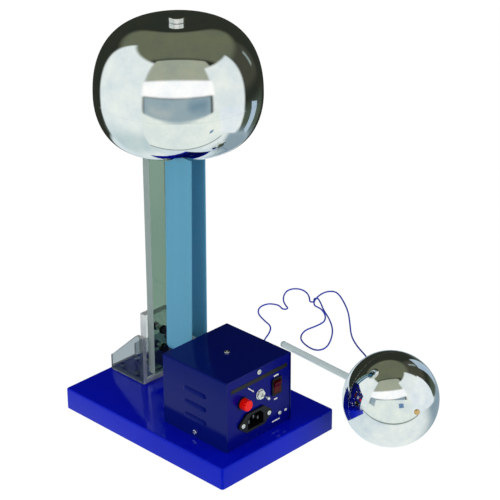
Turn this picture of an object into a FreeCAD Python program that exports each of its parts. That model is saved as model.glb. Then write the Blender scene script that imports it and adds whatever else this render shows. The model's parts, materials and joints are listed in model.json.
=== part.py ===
"""Van de Graaff generator with a mains-driven belt, a polished dome and a discharge wand.

Frame: millimetres, +Z up, origin on the table under the middle of the base.
The control panel faces -Y, the louvred side of the control box faces -X, and the
charging belt stands behind the box.  Every sub-part is its own solid and is written
to parts/NODE.step.
"""
import FreeCAD, Part
import math
import os

Vector = FreeCAD.Vector
X_AXIS = Vector(1, 0, 0)
Y_AXIS = Vector(0, 1, 0)
Z_AXIS = Vector(0, 0, 1)

# ---------------------------------------------------------------- fits and gaps
FIT_GAP = 0.05            # radial clearance of a running or sliding fit
SEAT_GAP = 0.15           # clearance between loosely fitted sheet parts
BELT_GAP = 0.3            # belt to roller, so that the roller can turn inside it
OVERCUT = 1.0             # how far a cutting tool stands out of the material
SKIN = 0.01               # keeps a cut off a face that it would only touch

# ---------------------------------------------------------------- pan-head screws
PAN_ROUND_SHARE = 0.4     # edge radius of the head, of its height
RECESS_REACH_SHARE = 0.55  # cross recess, of the head's radius
RECESS_WIDTH_SHARE = 0.13
RECESS_DEPTH_SHARE = 0.45  # of the head's height

# ---------------------------------------------------------------- base
BASE_WIDTH = 176.0
BASE_DEPTH = 252.0
BASE_TOP_Z = 27.0
BASE_RIM_Z = 1.2
BASE_WALL = 1.5
BASE_CORNER_RADIUS = 3.0
BASE_EDGE_RADIUS = 2.2
MAT_THICKNESS = 2.0
MAT_INSET = 24.0
FLOOR_PLATE_THICKNESS = 2.0
FLOOR_PLATE_GAP = 0.5
POST_RADIUS = 5.0
POST_INSET = 14.0
POST_SCREW_RADIUS = 1.5
POST_SCREW_LENGTH = 8.0
POST_SCREW_HEAD_RADIUS = 3.0
POST_SCREW_HEAD_HEIGHT = 1.1

# ---------------------------------------------------------------- control box
BOX_CENTRE_X = -11.6
BOX_FRONT_Y = -106.8
BOX_WIDTH = 100.0
BOX_DEPTH = 97.0
BOX_HEIGHT = 85.0
SHEET = 1.2
PANEL_RECESS = 0.8
FLANGE_HEIGHT = 12.0
COVER_SCREW_HEIGHT = 6.5          # above the base top
COVER_SCREW_HEAD_HEIGHT = 1.6
COVER_SCREW_END = 1.35            # thread that shows past the last sheet
LOUVRE_LENGTH = 35.0
LOUVRE_PITCH = 16.4
LOUVRE_COUNT = 3
LOUVRE_FIRST_HEIGHT = 24.5        # lowest louvre above the base top
LOUVRE_HEIGHT = 4.6
LOUVRE_BULGE = 2.0
LOUVRE_SHEET = 0.8
LOUVRE_NOSE_REACH = 0.8           # share of the bulge at the top of the nose
LOUVRE_NOSE_RISE = 0.45           # share of the height there
PANEL_SCREW_DROP = 5.2            # below the top edge of the cover
PANEL_TAB_DEPTH = 8.0
MOUNT_SCREW_INSET = 10.0
MOUNT_SCREW_END = 3.0
STANDOFF_RADIUS = 2.5
STANDOFF_HEIGHT = 6.0
STANDOFF_MARGIN = 1.0             # from the stud to the edge of the board

# ---------------------------------------------------------------- panel fittings
PANEL_ROW_HEIGHT = 51.5           # fuse, toggle and rocker row above the base top
INLET_X = -18.6
INLET_HEIGHT = 24.8
INLET_SCREW_SPACING = 40.0
INLET_FLANGE_HEIGHT = 23.0
INLET_FLANGE_THICKNESS = 2.4
INLET_EAR_RADIUS = 5.0
INLET_EAR_RISE = 0.93             # where the slanting edge meets the ear, shares of its radius
INLET_EAR_LEAN = 0.37
INLET_BODY_WIDTH = 27.0
INLET_BODY_HEIGHT = 19.6
INLET_BODY_DEPTH = 21.0
INLET_CAVITY_WIDTH = 24.2
INLET_CAVITY_HEIGHT = 16.6
INLET_CAVITY_DEPTH = 17.0
INLET_CAVITY_CHAMFER = 5.0
INLET_PIN_LENGTH = 13.5
INLET_PIN_SPREAD = 7.0
INLET_PIN_OFFSET = 2.0
INLET_PIN_SIZE = (2.0, 4.0)
INLET_TAB_LENGTH = 8.0
INLET_SCREW_RADIUS = 1.5
INLET_SCREW_HEAD = (2.8, 1.4)     # radius, height
INLET_SCREW_END = 4.0
INLET_NUT_FLATS = 5.5
INLET_NUT_HEIGHT = 2.4
FUSE_X = -36.4
FUSE_BEZEL_RADIUS = 7.4
FUSE_BEZEL_THICKNESS = 1.4
FUSE_BARREL_RADIUS = 5.8
FUSE_BARREL_LENGTH = 30.0
FUSE_BORE_SPARE = 3.0             # free bore behind the fuse
FUSE_NUT_FLATS = 15.0
FUSE_NUT_HEIGHT = 3.0
FUSE_CAP_RADIUS = 6.3
FUSE_CAP_LENGTH = 8.0
FUSE_CAP_FLUTES = 12
FUSE_FLUTE_RADIUS = 0.8
FUSE_FLUTE_STOP = 1.6             # plain ring behind the flutes
FUSE_CAP_EDGE = 0.8
FUSE_CARRIER_RADIUS = 3.6
FUSE_CARRIER_LENGTH = 7.0
FUSE_LINK_RADIUS = 2.5
FUSE_LINK_LENGTH = 20.0
FUSE_LINK_START = 2.0             # behind the seat of the cap
TOGGLE_X = -9.8
TOGGLE_BODY = (13.0, 12.0, 12.7)   # width, depth behind the panel, height
TOGGLE_BUSH_RADIUS = 3.0
TOGGLE_BUSH_LENGTH = 3.4
TOGGLE_BORE_RADIUS = 2.1
TOGGLE_BORE_SPARE = 3.0           # bore behind the panel, for the lever's tail
TOGGLE_PIVOT_DEPTH = 2.0          # below the mouth of the bush
TOGGLE_PIN_RADIUS = 0.5
TOGGLE_PIN_MARGIN = 0.3           # from the pin's ends to the skin of the bush
TOGGLE_TAB = (2.0, 4.0, 0.8)      # width, length, thickness
TOGGLE_TAB_PITCH = 4.5
TOGGLE_NUT_FLATS = 10.0
TOGGLE_NUT_THICKNESS = 2.2
TOGGLE_WASHER_RADIUS = 6.2
TOGGLE_WASHER_THICKNESS = 0.8
TOGGLE_LEVER_LENGTH = 13.5
TOGGLE_LEVER_TIP_RADIUS = 2.1
TOGGLE_LEVER_NECK_RADIUS = 1.3
TOGGLE_LEVER_ROOT_RADIUS = 0.9
TOGGLE_TAIL_RADIUS = 0.8
TOGGLE_TAIL_LENGTH = 3.5
ROCKER_X = 15.8
ROCKER_WIDTH = 15.0
ROCKER_HEIGHT = 21.0
ROCKER_BEZEL_THICKNESS = 1.8
ROCKER_BEZEL_RADIUS = 1.6
ROCKER_BODY_DEPTH = 14.0
ROCKER_BODY_MARGIN = 1.2
ROCKER_WINDOW = (10.8, 15.8)
ROCKER_SIDE_GAP = 0.3
ROCKER_END_GAP = 1.0
ROCKER_BUTTON_PROUD = 0.4
ROCKER_PIN_RADIUS = 0.9
ROCKER_PIN_SEAT = 0.5             # wall of the case that the pin leaves
ROCKER_PIVOT_DEPTH = 1.5          # behind the face of the panel
ROCKER_FLOOR = 4.0
ROCKER_RIM = 2.4                  # thickness of the button's ends
ROCKER_HUB_DROP = 2.2             # from the pin to the bottom of the hub
ROCKER_HUB_SHARE = 0.35
ROCKER_TAB = (4.8, 6.0, 0.8)      # width, length, thickness
ROCKER_TAB_OFFSET = 5.0
ROCKER_TILT = 9.0                  # degrees from level in either position
EARTH_X = 20.4
EARTH_HEIGHT = 15.8
EARTH_SCREW_RADIUS = 2.0
EARTH_HEAD_RADIUS = 2.6
EARTH_HEAD_HEIGHT = 1.8
EARTH_SCREW_END = 6.0
EARTH_NUT_FLATS = 7.0
EARTH_NUT_HEIGHT = 3.2

# ---------------------------------------------------------------- power supply
CORE_SIZE = (36.0, 26.0, 34.0)
CORE_SIDE_GAP = 1.0               # to the end of the cover's screw
CORE_CENTRE_Y = -55.0
COIL_MARGIN = 7.0
COIL_HEIGHT = 22.0
COIL_CORNER = 4.0
BOARD_SIZE = (30.0, 42.0, 1.6)
BOARD_CENTRE_X = 16.0
BOARD_CENTRE_Y = -66.0
CAPACITOR_RADIUS = 6.3
CAPACITOR_HEIGHT = 21.0
CAPACITOR_PLACE = (-6.0, 12.0)    # from the middle of the board
DIODE_RADIUS = 1.4
DIODE_LENGTH = 6.0
DIODE_COUNT = 4
DIODE_PITCH = 4.0
DIODE_FIRST_Y = -10.0             # from the middle of the board
TERMINAL_BLOCK_SIZE = (15.0, 8.0, 10.0)
TERMINAL_BLOCK_MARGIN = 1.0

# ---------------------------------------------------------------- drive
DRIVE_X = -4.1
DRIVE_DROP = 18.0                 # below the top of the box
MOTOR_RADIUS = 13.0
MOTOR_WALL = 1.2
MOTOR_LENGTH = 38.0
MOTOR_FACE_Y = -34.0
MOTOR_END_CAP_LENGTH = 4.0
MOTOR_BEARING_RADIUS = 4.5
MOTOR_BEARING_LENGTH = 2.0
MOTOR_SHAFT_RADIUS = 1.5
MOTOR_SHAFT_STICKOUT = 9.0
MOTOR_SCREW_SPACING = 16.0
MOTOR_SCREW_RADIUS = 1.25
MOTOR_SCREW_HEAD = (2.4, 1.4)     # radius, height
MOTOR_SCREW_END = 0.5
MOTOR_TAB = (2.0, 4.0, 0.6)       # width, length, thickness
MOTOR_TAB_SPREAD = 8.0
MOTOR_SPIGOT_LENGTH = 1.5
MOTOR_SPIGOT_GAP = 0.1
ARMATURE_RADIUS = 10.5
ARMATURE_LENGTH = 24.0
ARMATURE_GAP = 3.0                # to the end wall of the can
COMMUTATOR_RADIUS = 4.0
COMMUTATOR_LENGTH = 6.0
BRACKET_SHEET = 2.0
BRACKET_WIDTH = 34.0
BRACKET_TOP_REACH = 8.0            # past the cover screw
BRACKET_FOOT_LENGTH = 9.0
COUPLER_RADIUS = 5.0
COUPLER_GAP = 1.5
SHAFT_RADIUS = 3.0
BEARING_RADIUS = 8.0
BEARING_FLANGE_RADIUS = 10.5
BEARING_FLANGE_THICKNESS = 1.2
BEARING_LENGTH = 5.0
BEARING_PROUD = 0.5

# ---------------------------------------------------------------- belt and rollers
BELT_CENTRE_Y = 12.1
BELT_WIDTH = 40.0
BELT_THICKNESS = 1.0
LOWER_ROLLER_RADIUS = 10.9
UPPER_ROLLER_RADIUS = 8.9
ROLLER_CROWN = 0.5
ROLLER_LENGTH = 41.0
ROLLER_END_GAP = 0.3
BELT_SPAN = 306.0                 # height from the lower to the upper roller's axis
SHAFT_NUT_RADIUS = 5.5
SHAFT_NUT_LENGTH = 11.0
SHAFT_NUT_EDGE = 1.0
SHAFT_END_MARGIN = 1.5
COMB_THICKNESS = 0.8
COMB_LENGTH = 36.0
COMB_TEETH = 12
COMB_TOOTH_DEPTH = 3.0
COMB_POINT_GAP = 2.0
COMB_NOTCH_GAP = 0.5
LOWER_COMB_HEIGHT = 12.0          # lower edge above the base top
COMB_RIVET_RADIUS = 1.5
COMB_RIVET_OFFSET = 5.0
COMB_RIVET_DROP = 6.0

# ---------------------------------------------------------------- column
UPRIGHT_WIDTH = 27.0
UPRIGHT_THICKNESS = 10.0
UPRIGHT_BACK_Y = 66.0
UPRIGHT_LIFT = 14.0               # above the base top
FOOT_PLATE = 5.0
FOOT_WIDTH = 44.0
FOOT_REAR_MARGIN = 4.5            # to the rear edge of the base
WALL_THICKNESS = 8.5
WALL_HEIGHT = 82.5                # above the foot's floor
GUSSET_HEIGHT = 59.0              # above the base top
GUSSET_SHOULDER = 3.5             # level run behind the wall
GUSSET_END_HEIGHT = 23.0
GUSSET_CHAMFER = (5.0, 4.0)       # length, height
GUSSET_ROUND = 2.2
UPRIGHT_BOLT_HEIGHTS = (44.5, 67.5)   # above the base top
UPRIGHT_BOLT_RADIUS = 2.5
UPRIGHT_BOLT_END = 1.0
BOLT_HEAD_FLATS = 8.0
BOLT_HEAD_HEIGHT = 3.5
BOLT_NUT_HEIGHT = 4.0
WASHER_RADIUS = 5.0
WASHER_THICKNESS = 1.0
FOOT_SCREW_RADIUS = 2.0
FOOT_SCREW_HEAD_RADIUS = 3.6
FOOT_SCREW_HEAD_HEIGHT = 2.2
FOOT_SCREW_LENGTH = 9.0
FOOT_SCREW_X = 11.0
FOOT_SCREW_MARGIN = 11.5          # from the wall and from the rear edge of the foot
COMB_POST_WIDTH = 16.0
COMB_POST_HEIGHT = 33.0
COMB_POST_SHEET = 2.0
COMB_POST_FOOT = 14.0
COMB_SCREW_END = 2.0

# ---------------------------------------------------------------- dome
DOME_CENTRE_Y = 21.5
DOME_RADIUS = 90.0
DOME_EQUATOR_DROP = 12.0          # below the axis of the upper roller
DOME_RISE = 78.9                  # from the equator to the crown
DOME_DROP = 52.9                  # from the equator to the underside
DOME_CROWN_RADIUS = 25.3          # where the flat crown meets the rounded shoulder
DOME_CROWN_POWER = 2.3            # 2 is an ellipse, more is squarer
DOME_BELLY_RADIUS = 56.0          # where the flat underside meets the rounded belly
DOME_BELLY_POWER = 2.0
DOME_ARC_STEPS = 14
DOME_NECK_RADIUS = 52.0
DOME_WALL = 1.2
DOME_LAP_THICKNESS = 1.0
DOME_LAP_BELOW = 4.2
DOME_LAP_ABOVE = 3.6
DOME_LAP_ROOT = 0.4               # how deep the ring is buried in the wall
DOME_NECK_LIP = 6.0
KNOB_RADIUS = 9.25
KNOB_HEIGHT = 5.6
KNOB_BORE_DEPTH = 4.2
KNOB_EDGE = 0.4
STUD_RADIUS = 3.0
STUD_SHOULDER_RADIUS = 7.0
STUD_SHOULDER_HEIGHT = 25.7
STUD_HOLE_GAP = 0.3
STUD_TIP_GAP = 0.7
ARM_WIDTH = 20.0
ARM_SHEET = 3.0
ARM_LEG_HEIGHT = 28.0
ARM_REACH = 9.0                   # past the dome axis
ARM_SCREW_RADIUS = 2.0
ARM_SCREW_PITCH = 14.0
AXLE_RADIUS = 3.0
AXLE_SPACER_RADIUS = 5.0
AXLE_NUT_FLATS = 10.0
AXLE_NUT_HEIGHT = 2.5
ARM_NUT_FLATS = 7.0
ARM_NUT_HEIGHT = 2.4
THREAD_END = 0.5                  # thread that shows past a nut
STUD_NUT_FLATS = 8.0
STUD_NUT_HEIGHT = 3.0
AXLE_SLOT_TRAVEL = 8.0

# ---------------------------------------------------------------- discharge wand
BALL_RADIUS = 53.5
BALL_X = 113.5
BALL_Y = -187.0
BALL_WALL = 1.0
ROD_RADIUS = 4.0
ROD_LENGTH = 197.0                # from the ball's skin to the far end
ROD_TIP_X = 190.6
ROD_TIP_Y = 49.9
ROD_EDGE = 1.2
ROD_START_GAP = 4.0               # from the ball's skin to the rod
COLLAR_RADIUS = 6.5
COLLAR_LENGTH = 12.0
COLLAR_SINK = 1.5                 # how far its blank reaches into the ball
COLLAR_TERMINAL_SHARE = 0.62      # place of the terminal along the ferrule
COLLAR_TERMINAL_RADIUS = 2.4
COLLAR_TERMINAL_LENGTH = 12.0     # from the rod's axis to the end of the terminal
BALL_BOLT_RADIUS = 2.0
BALL_BOLT_HEAD_RADIUS = 3.2
BALL_BOLT_HEAD_HEIGHT = 2.2
BALL_BOLT_HEAD_SINK = 0.6         # blank below the skin, cut to fit it
BALL_BOLT_HEAD_ROUND = 0.7        # share of the height that is rounded
BALL_BOLT_OVERLAP = 0.5
BALL_BOLT_GRIP = 14.0             # thread inside the rod

# ---------------------------------------------------------------- lead
LEAD_RADIUS = 1.0
LEAD_ARC_SHARE = 0.45
LEAD_LAST_RUN = 13.0              # straight run into the terminal
SOCKET_Y = 35.0
SOCKET_Z = 14.0
SOCKET_BORE_RADIUS = 2.05
SOCKET_BODY_RADIUS = 4.0
SOCKET_BODY_LENGTH = 18.0
SOCKET_FLANGE_RADIUS = 6.5
SOCKET_FLANGE_THICKNESS = 3.0
SOCKET_NUT_FLATS = 11.0
SOCKET_NUT_THICKNESS = 3.0
PLUG_PIN_LENGTH = 15.0
PLUG_PIN_EDGE = 1.0
PLUG_SLEEVE_LENGTH = 25.0
PLUG_STRAIGHT_SHARE = 0.6
PLUG_SLEEVE_RADIUS = 4.6
PLUG_TAIL_RADIUS = 2.6

# ---------------------------------------------------------------- derived places
base_left = -BASE_WIDTH / 2
base_front = -BASE_DEPTH / 2
base_right = BASE_WIDTH / 2
base_under_top = BASE_TOP_Z - BASE_WALL
box_left = BOX_CENTRE_X - BOX_WIDTH / 2
box_right = BOX_CENTRE_X + BOX_WIDTH / 2
box_rear = BOX_FRONT_Y + BOX_DEPTH
box_middle_y = BOX_FRONT_Y + BOX_DEPTH / 2
box_top = BASE_TOP_Z + BOX_HEIGHT
panel_y = BOX_FRONT_Y + PANEL_RECESS
panel_back_y = panel_y + SHEET
rear_y = box_rear - PANEL_RECESS
rear_inner_y = rear_y - SHEET
chassis_left = box_left + SHEET + SEAT_GAP
chassis_right = box_right - SHEET - SEAT_GAP
chassis_top = box_top - SHEET - SEAT_GAP
chassis_floor_z = BASE_TOP_Z + SHEET
row_z = BASE_TOP_Z + PANEL_ROW_HEIGHT
inlet_z = BASE_TOP_Z + INLET_HEIGHT
drive_z = box_top - DRIVE_DROP
upper_roller_z = drive_z + BELT_SPAN
roller_front_y = BELT_CENTRE_Y - ROLLER_LENGTH / 2
roller_back_y = BELT_CENTRE_Y + ROLLER_LENGTH / 2
upright_front_y = UPRIGHT_BACK_Y - UPRIGHT_THICKNESS
wall_back_y = UPRIGHT_BACK_Y + WALL_THICKNESS
foot_floor_z = BASE_TOP_Z + FOOT_PLATE
foot_back_y = BASE_DEPTH / 2 - FOOT_REAR_MARGIN
bolt_zs = [BASE_TOP_Z + height for height in UPRIGHT_BOLT_HEIGHTS]
dome_equator_z = upper_roller_z - DOME_EQUATOR_DROP
dome_top_z = dome_equator_z + DOME_RISE
dome_bottom_z = dome_equator_z - DOME_DROP
upright_bottom_z = BASE_TOP_Z + UPRIGHT_LIFT
upright_top_z = dome_top_z - DOME_WALL - STUD_SHOULDER_HEIGHT
dome_axis = Vector(0, DOME_CENTRE_Y, 0)
ball_centre = Vector(BALL_X, BALL_Y, BALL_RADIUS)
rod_tip = Vector(ROD_TIP_X, ROD_TIP_Y, ROD_RADIUS)
rod_axis = (rod_tip - ball_centre).normalize()
side_axis = Vector(rod_axis.y, -rod_axis.x, 0).normalize()

# Lead from the plug to the wand's collar.  It lies loose on the table, crosses over
# itself once in a low hump and rises to the collar behind the ball.
LEAD_START = Vector(base_right + SOCKET_FLANGE_THICKNESS + PLUG_SLEEVE_LENGTH, SOCKET_Y, SOCKET_Z)
LEAD_TABLE_Z = 1.1
LEAD_HUMP_Z = 4.0
LEAD_POINTS = [
    (130, 35, 14), (148, 43, 6), (168, 60, 1.6), (186, 75, LEAD_TABLE_Z), (203, 82, LEAD_TABLE_Z),
    (218, 93, LEAD_TABLE_Z), (223, 110, LEAD_TABLE_Z), (231, 129, LEAD_TABLE_Z),
    (245, 140, LEAD_TABLE_Z), (260, 139, LEAD_TABLE_Z), (266, 128, LEAD_TABLE_Z),
    (264.4, 120.8, LEAD_TABLE_Z), (262, 116.2, LEAD_TABLE_Z), (262.6, 112.6, LEAD_TABLE_Z),
    (265.8, 110.7, LEAD_TABLE_Z), (269.1, 112.7, LEAD_TABLE_Z), (270.9, 117, LEAD_TABLE_Z),
    (273.9, 122.6, LEAD_TABLE_Z), (281, 132, LEAD_TABLE_Z), (293, 141.5, LEAD_TABLE_Z),
    (305.5, 146.5, LEAD_TABLE_Z), (315, 143, LEAD_TABLE_Z), (319.2, 134.4, LEAD_TABLE_Z),
    (316.9, 123.7, LEAD_TABLE_Z), (311.4, 114.9, LEAD_TABLE_Z), (306.2, 109, LEAD_TABLE_Z),
    (302, 105.2, LEAD_TABLE_Z), (301, 102.2, LEAD_TABLE_Z), (302.8, 99.9, LEAD_TABLE_Z),
    (305.8, 100.6, LEAD_TABLE_Z), (308.3, 103.4, LEAD_TABLE_Z), (311.2, 105.2, LEAD_TABLE_Z),
    (313.9, 104, LEAD_TABLE_Z), (314, 101, LEAD_TABLE_Z), (311.4, 96.9, LEAD_TABLE_Z),
    (305.8, 88.6, LEAD_TABLE_Z), (298.4, 79.2, LEAD_TABLE_Z), (290.2, 66.8, LEAD_TABLE_Z),
    (283, 54.6, LEAD_TABLE_Z), (266, 33, LEAD_TABLE_Z), (244, 16, LEAD_TABLE_Z), (222, 5, LEAD_TABLE_Z),
    (209, 10, LEAD_TABLE_Z), (210.5, 28, LEAD_TABLE_Z), (219, 46, LEAD_TABLE_Z),
    (238, 56, LEAD_TABLE_Z), (256, 53, LEAD_TABLE_Z), (270.9, 52.9, LEAD_TABLE_Z), (278.4, 56.8, 1.8),
    (284.1, 62.4, 3), (288.8, 69.9, 3.8), (291.9, 77.6, LEAD_HUMP_Z), (291.9, 83.5, LEAD_HUMP_Z),
    (293.1, 89.2, LEAD_HUMP_Z), (298.6, 94.7, LEAD_HUMP_Z), (306.5, 99.3, LEAD_HUMP_Z),
    (316.2, 103.1, 3.4), (328.1, 106.4, 2.2), (338.8, 106.2, LEAD_TABLE_Z), (344.6, 99.5, LEAD_TABLE_Z),
    (340.5, 88, LEAD_TABLE_Z), (331, 73, LEAD_TABLE_Z), (314, 50, LEAD_TABLE_Z),
    (291, 27, LEAD_TABLE_Z), (268, 5, LEAD_TABLE_Z), (253, -17, LEAD_TABLE_Z), (241, -43, LEAD_TABLE_Z),
    (225, -71, LEAD_TABLE_Z), (209, -96, LEAD_TABLE_Z), (197, -115, 3), (186, -130, 13),
    (173, -139, 27),
]


# ---------------------------------------------------------------- building blocks
def box(x0, x1, y0, y1, z0, z1):
    """Rectangular block between two corners."""
    return Part.makeBox(x1 - x0, y1 - y0, z1 - z0, Vector(x0, y0, z0))


def rod(radius, start, axis, length):
    """Round bar from a point along a direction."""
    return Part.makeCylinder(radius, length, start, axis)


def drill(radius, start, axis, depth):
    """Tool for a through hole: a bar that stands out of the material at both ends."""
    return rod(radius, start - Vector(axis) * OVERCUT, axis, depth + 2 * OVERCUT)


def tube(outer, inner, start, axis, length):
    """Round bar with a bore right through it."""
    return rod(outer, start, axis, length).cut(rod(inner, start, axis, length))


def prism(points, axis_vector):
    """Flat polygon pushed along a vector."""
    loop = Part.makePolygon(points + [points[0]])
    return Part.Face(loop).extrude(axis_vector)


def hexagon(flats, start, axis, length):
    """Hexagonal bar of a given size across its flats."""
    radius = flats / math.sqrt(3)
    turn = FreeCAD.Rotation(Z_AXIS, axis)
    points = []
    for corner in range(6):
        angle = math.radians(60 * corner)
        points.append(start + turn.multVec(Vector(radius * math.cos(angle), radius * math.sin(angle), 0)))
    return prism(points, Vector(axis) * length)


def nut(flats, bore_radius, start, axis, height):
    """Hexagon nut with its bore."""
    return hexagon(flats, start, axis, height).cut(drill(bore_radius, start, axis, height))


def edges_along(shape, axis, test=None):
    """Straight edges of a shape that run along an axis."""
    found = []
    for edge in shape.Edges:
        if not isinstance(edge.Curve, Part.Line):
            continue
        direction = edge.Curve.Direction
        if abs(abs(direction.dot(axis)) - 1) < 1e-6 and (test is None or test(edge.CenterOfMass)):
            found.append(edge)
    return found


def rounded_box(x0, x1, y0, y1, z0, z1, radius, axis=Z_AXIS):
    """Block whose edges along one axis are rounded."""
    block = box(x0, x1, y0, y1, z0, z1)
    return block.makeFillet(radius, edges_along(block, axis))


def screw(head_radius, head_height, shank_radius, shank_length, seat, into):
    """Pan-head screw with a cross recess: its head sits on a seat, its shank points into the work."""
    head = rod(head_radius, seat - into * head_height, into, head_height)
    rim = [e for e in head.Edges if isinstance(e.Curve, Part.Circle)
           and (e.Curve.Center - seat).dot(into) < -head_height / 2]
    head = head.makeFillet(head_height * PAN_ROUND_SHARE, rim)
    reach = head_radius * RECESS_REACH_SHARE
    half = head_radius * RECESS_WIDTH_SHARE
    depth = head_height * RECESS_DEPTH_SHARE
    recess = box(-reach, reach, -half, half, -depth, OVERCUT)
    recess = recess.fuse(box(-half, half, -reach, reach, -depth, OVERCUT))
    recess.Placement = FreeCAD.Placement(seat - into * head_height, FreeCAD.Rotation(Z_AXIS, into * -1))
    return head.cut(recess).fuse(rod(shank_radius, seat, into, shank_length))


def group(solids):
    """Several separate solids kept as one node."""
    return Part.makeCompound(solids)


def fuse_all(solids):
    """One solid out of several that touch or overlap."""
    result = solids[0]
    for solid in solids[1:]:
        result = result.fuse(solid)
    return result.removeSplitter()


def cut_all(shape, tools):
    """A shape with every tool taken out of it."""
    for tool in tools:
        shape = shape.cut(tool)
    return shape


def turned(profile, origin=Vector(0, 0, 0), axis=Z_AXIS):
    """Solid of revolution from (radius, height) points about an axis."""
    points = [Vector(r, 0, z) for r, z in profile]
    face = Part.Face(Part.makePolygon(points + [points[0]]))
    solid = face.revolve(Vector(0, 0, 0), Z_AXIS, 360)
    solid.Placement = FreeCAD.Placement(origin, FreeCAD.Rotation(Z_AXIS, axis))
    return solid


# ---------------------------------------------------------------- screw places
def post_places():
    """Middles of the four corner posts under the base."""
    reach_x = BASE_WIDTH / 2 - POST_INSET
    reach_y = BASE_DEPTH / 2 - POST_INSET
    return [(sx * reach_x, sy * reach_y) for sx in (-1, 1) for sy in (-1, 1)]


def mount_places():
    """Screws that hold the control box to the base."""
    xs = (chassis_left + MOUNT_SCREW_INSET, chassis_right - MOUNT_SCREW_INSET)
    ys = (panel_back_y + MOUNT_SCREW_INSET + INLET_BODY_DEPTH, rear_inner_y - MOUNT_SCREW_INSET)
    return [(x, y) for x in xs for y in ys]


def foot_places():
    """Screws that hold the acrylic foot to the base."""
    ys = (wall_back_y + FOOT_SCREW_MARGIN, foot_back_y - FOOT_SCREW_MARGIN)
    return [(sx * FOOT_SCREW_X, y) for sx in (-1, 1) for y in ys]


def standoff_places():
    """Pressed studs that carry the rectifier board."""
    reach_x = BOARD_SIZE[0] / 2 - STANDOFF_RADIUS - STANDOFF_MARGIN
    reach_y = BOARD_SIZE[1] / 2 - STANDOFF_RADIUS - STANDOFF_MARGIN
    return [(BOARD_CENTRE_X + sx * reach_x, BOARD_CENTRE_Y + sy * reach_y)
            for sx in (-1, 1) for sy in (-1, 1)]


comb_post_y = BELT_CENTRE_Y
comb_foot_x = DRIVE_X + COMB_THICKNESS / 2 + COMB_POST_SHEET + COMB_POST_FOOT / 2


# ---------------------------------------------------------------- base
def make_base_pan():
    """Folded steel pan, open underneath, with a threaded post in each corner."""
    shell = rounded_box(base_left, base_right, base_front, -base_front, BASE_RIM_Z, BASE_TOP_Z,
                        BASE_CORNER_RADIUS)
    top_edges = [e for e in shell.Edges if abs(e.BoundBox.ZMin - BASE_TOP_Z) < 1e-6
                 and abs(e.BoundBox.ZMax - BASE_TOP_Z) < 1e-6]
    shell = shell.makeFillet(BASE_EDGE_RADIUS, top_edges)
    hollow = rounded_box(base_left + BASE_WALL, base_right - BASE_WALL, base_front + BASE_WALL,
                         -base_front - BASE_WALL, BASE_RIM_Z - OVERCUT, base_under_top,
                         BASE_CORNER_RADIUS - BASE_WALL)
    pan = shell.cut(hollow)
    post_bottom = MAT_THICKNESS + FLOOR_PLATE_THICKNESS
    posts = [rod(POST_RADIUS, Vector(x, y, post_bottom), Z_AXIS, base_under_top - post_bottom)
             for x, y in post_places()]
    pan = fuse_all([pan] + posts)
    holes = [drill(POST_SCREW_RADIUS, Vector(x, y, post_bottom), Z_AXIS, POST_SCREW_LENGTH)
             for x, y in post_places()]
    holes += [drill(FOOT_SCREW_RADIUS, Vector(x, y, base_under_top), Z_AXIS, BASE_WALL)
              for x, y in foot_places() + mount_places() + [(comb_foot_x, comb_post_y)]]
    holes.append(drill(SOCKET_BODY_RADIUS, Vector(base_right - BASE_WALL, SOCKET_Y, SOCKET_Z),
                       X_AXIS, BASE_WALL))
    return cut_all(pan, holes)


def make_base_floor_plate():
    """Steel plate that closes the pan from below."""
    inset = BASE_WALL + FLOOR_PLATE_GAP
    plate = rounded_box(base_left + inset, base_right - inset, base_front + inset,
                        -base_front - inset, MAT_THICKNESS, MAT_THICKNESS + FLOOR_PLATE_THICKNESS,
                        BASE_CORNER_RADIUS - BASE_WALL)
    holes = [drill(POST_SCREW_RADIUS, Vector(x, y, MAT_THICKNESS), Z_AXIS, FLOOR_PLATE_THICKNESS)
             for x, y in post_places()]
    return cut_all(plate, holes)


def make_base_mat():
    """Anti-slip rubber sheet under the floor plate: the face the object stands on."""
    return rounded_box(base_left + MAT_INSET, base_right - MAT_INSET, base_front + MAT_INSET,
                       -base_front - MAT_INSET, 0, MAT_THICKNESS, BASE_CORNER_RADIUS)


def make_base_plate_screws():
    """Four screws through the floor plate into the corner posts."""
    return group([screw(POST_SCREW_HEAD_RADIUS, POST_SCREW_HEAD_HEIGHT, POST_SCREW_RADIUS,
                        POST_SCREW_LENGTH, Vector(x, y, MAT_THICKNESS), Z_AXIS)
                  for x, y in post_places()])


# ---------------------------------------------------------------- control box
def panel_openings():
    """Holes of the front panel, each as large as the fitting that goes through it."""
    y0 = panel_y - OVERCUT
    depth = SHEET + 2 * OVERCUT
    body = (INLET_BODY_WIDTH / 2 + SEAT_GAP, INLET_BODY_HEIGHT / 2 + SEAT_GAP)
    rocker = (ROCKER_WIDTH / 2 - ROCKER_BODY_MARGIN + SEAT_GAP,
              ROCKER_HEIGHT / 2 - ROCKER_BODY_MARGIN + SEAT_GAP)
    holes = [
        box(INLET_X - body[0], INLET_X + body[0], y0, y0 + depth, inlet_z - body[1], inlet_z + body[1]),
        box(ROCKER_X - rocker[0], ROCKER_X + rocker[0], y0, y0 + depth,
            row_z - rocker[1], row_z + rocker[1]),
        rod(FUSE_BARREL_RADIUS, Vector(FUSE_X, y0, row_z), Y_AXIS, depth),
        rod(TOGGLE_BUSH_RADIUS, Vector(TOGGLE_X, y0, row_z), Y_AXIS, depth),
        rod(EARTH_SCREW_RADIUS, Vector(EARTH_X, y0, BASE_TOP_Z + EARTH_HEIGHT), Y_AXIS, depth),
        rod(POST_SCREW_RADIUS, Vector(BOX_CENTRE_X, y0, box_top - PANEL_SCREW_DROP), Y_AXIS, depth),
    ]
    for side in (-1, 1):
        place = Vector(INLET_X + side * INLET_SCREW_SPACING / 2, y0, inlet_z)
        holes.append(rod(INLET_SCREW_RADIUS, place, Y_AXIS, depth))
    return holes


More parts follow.
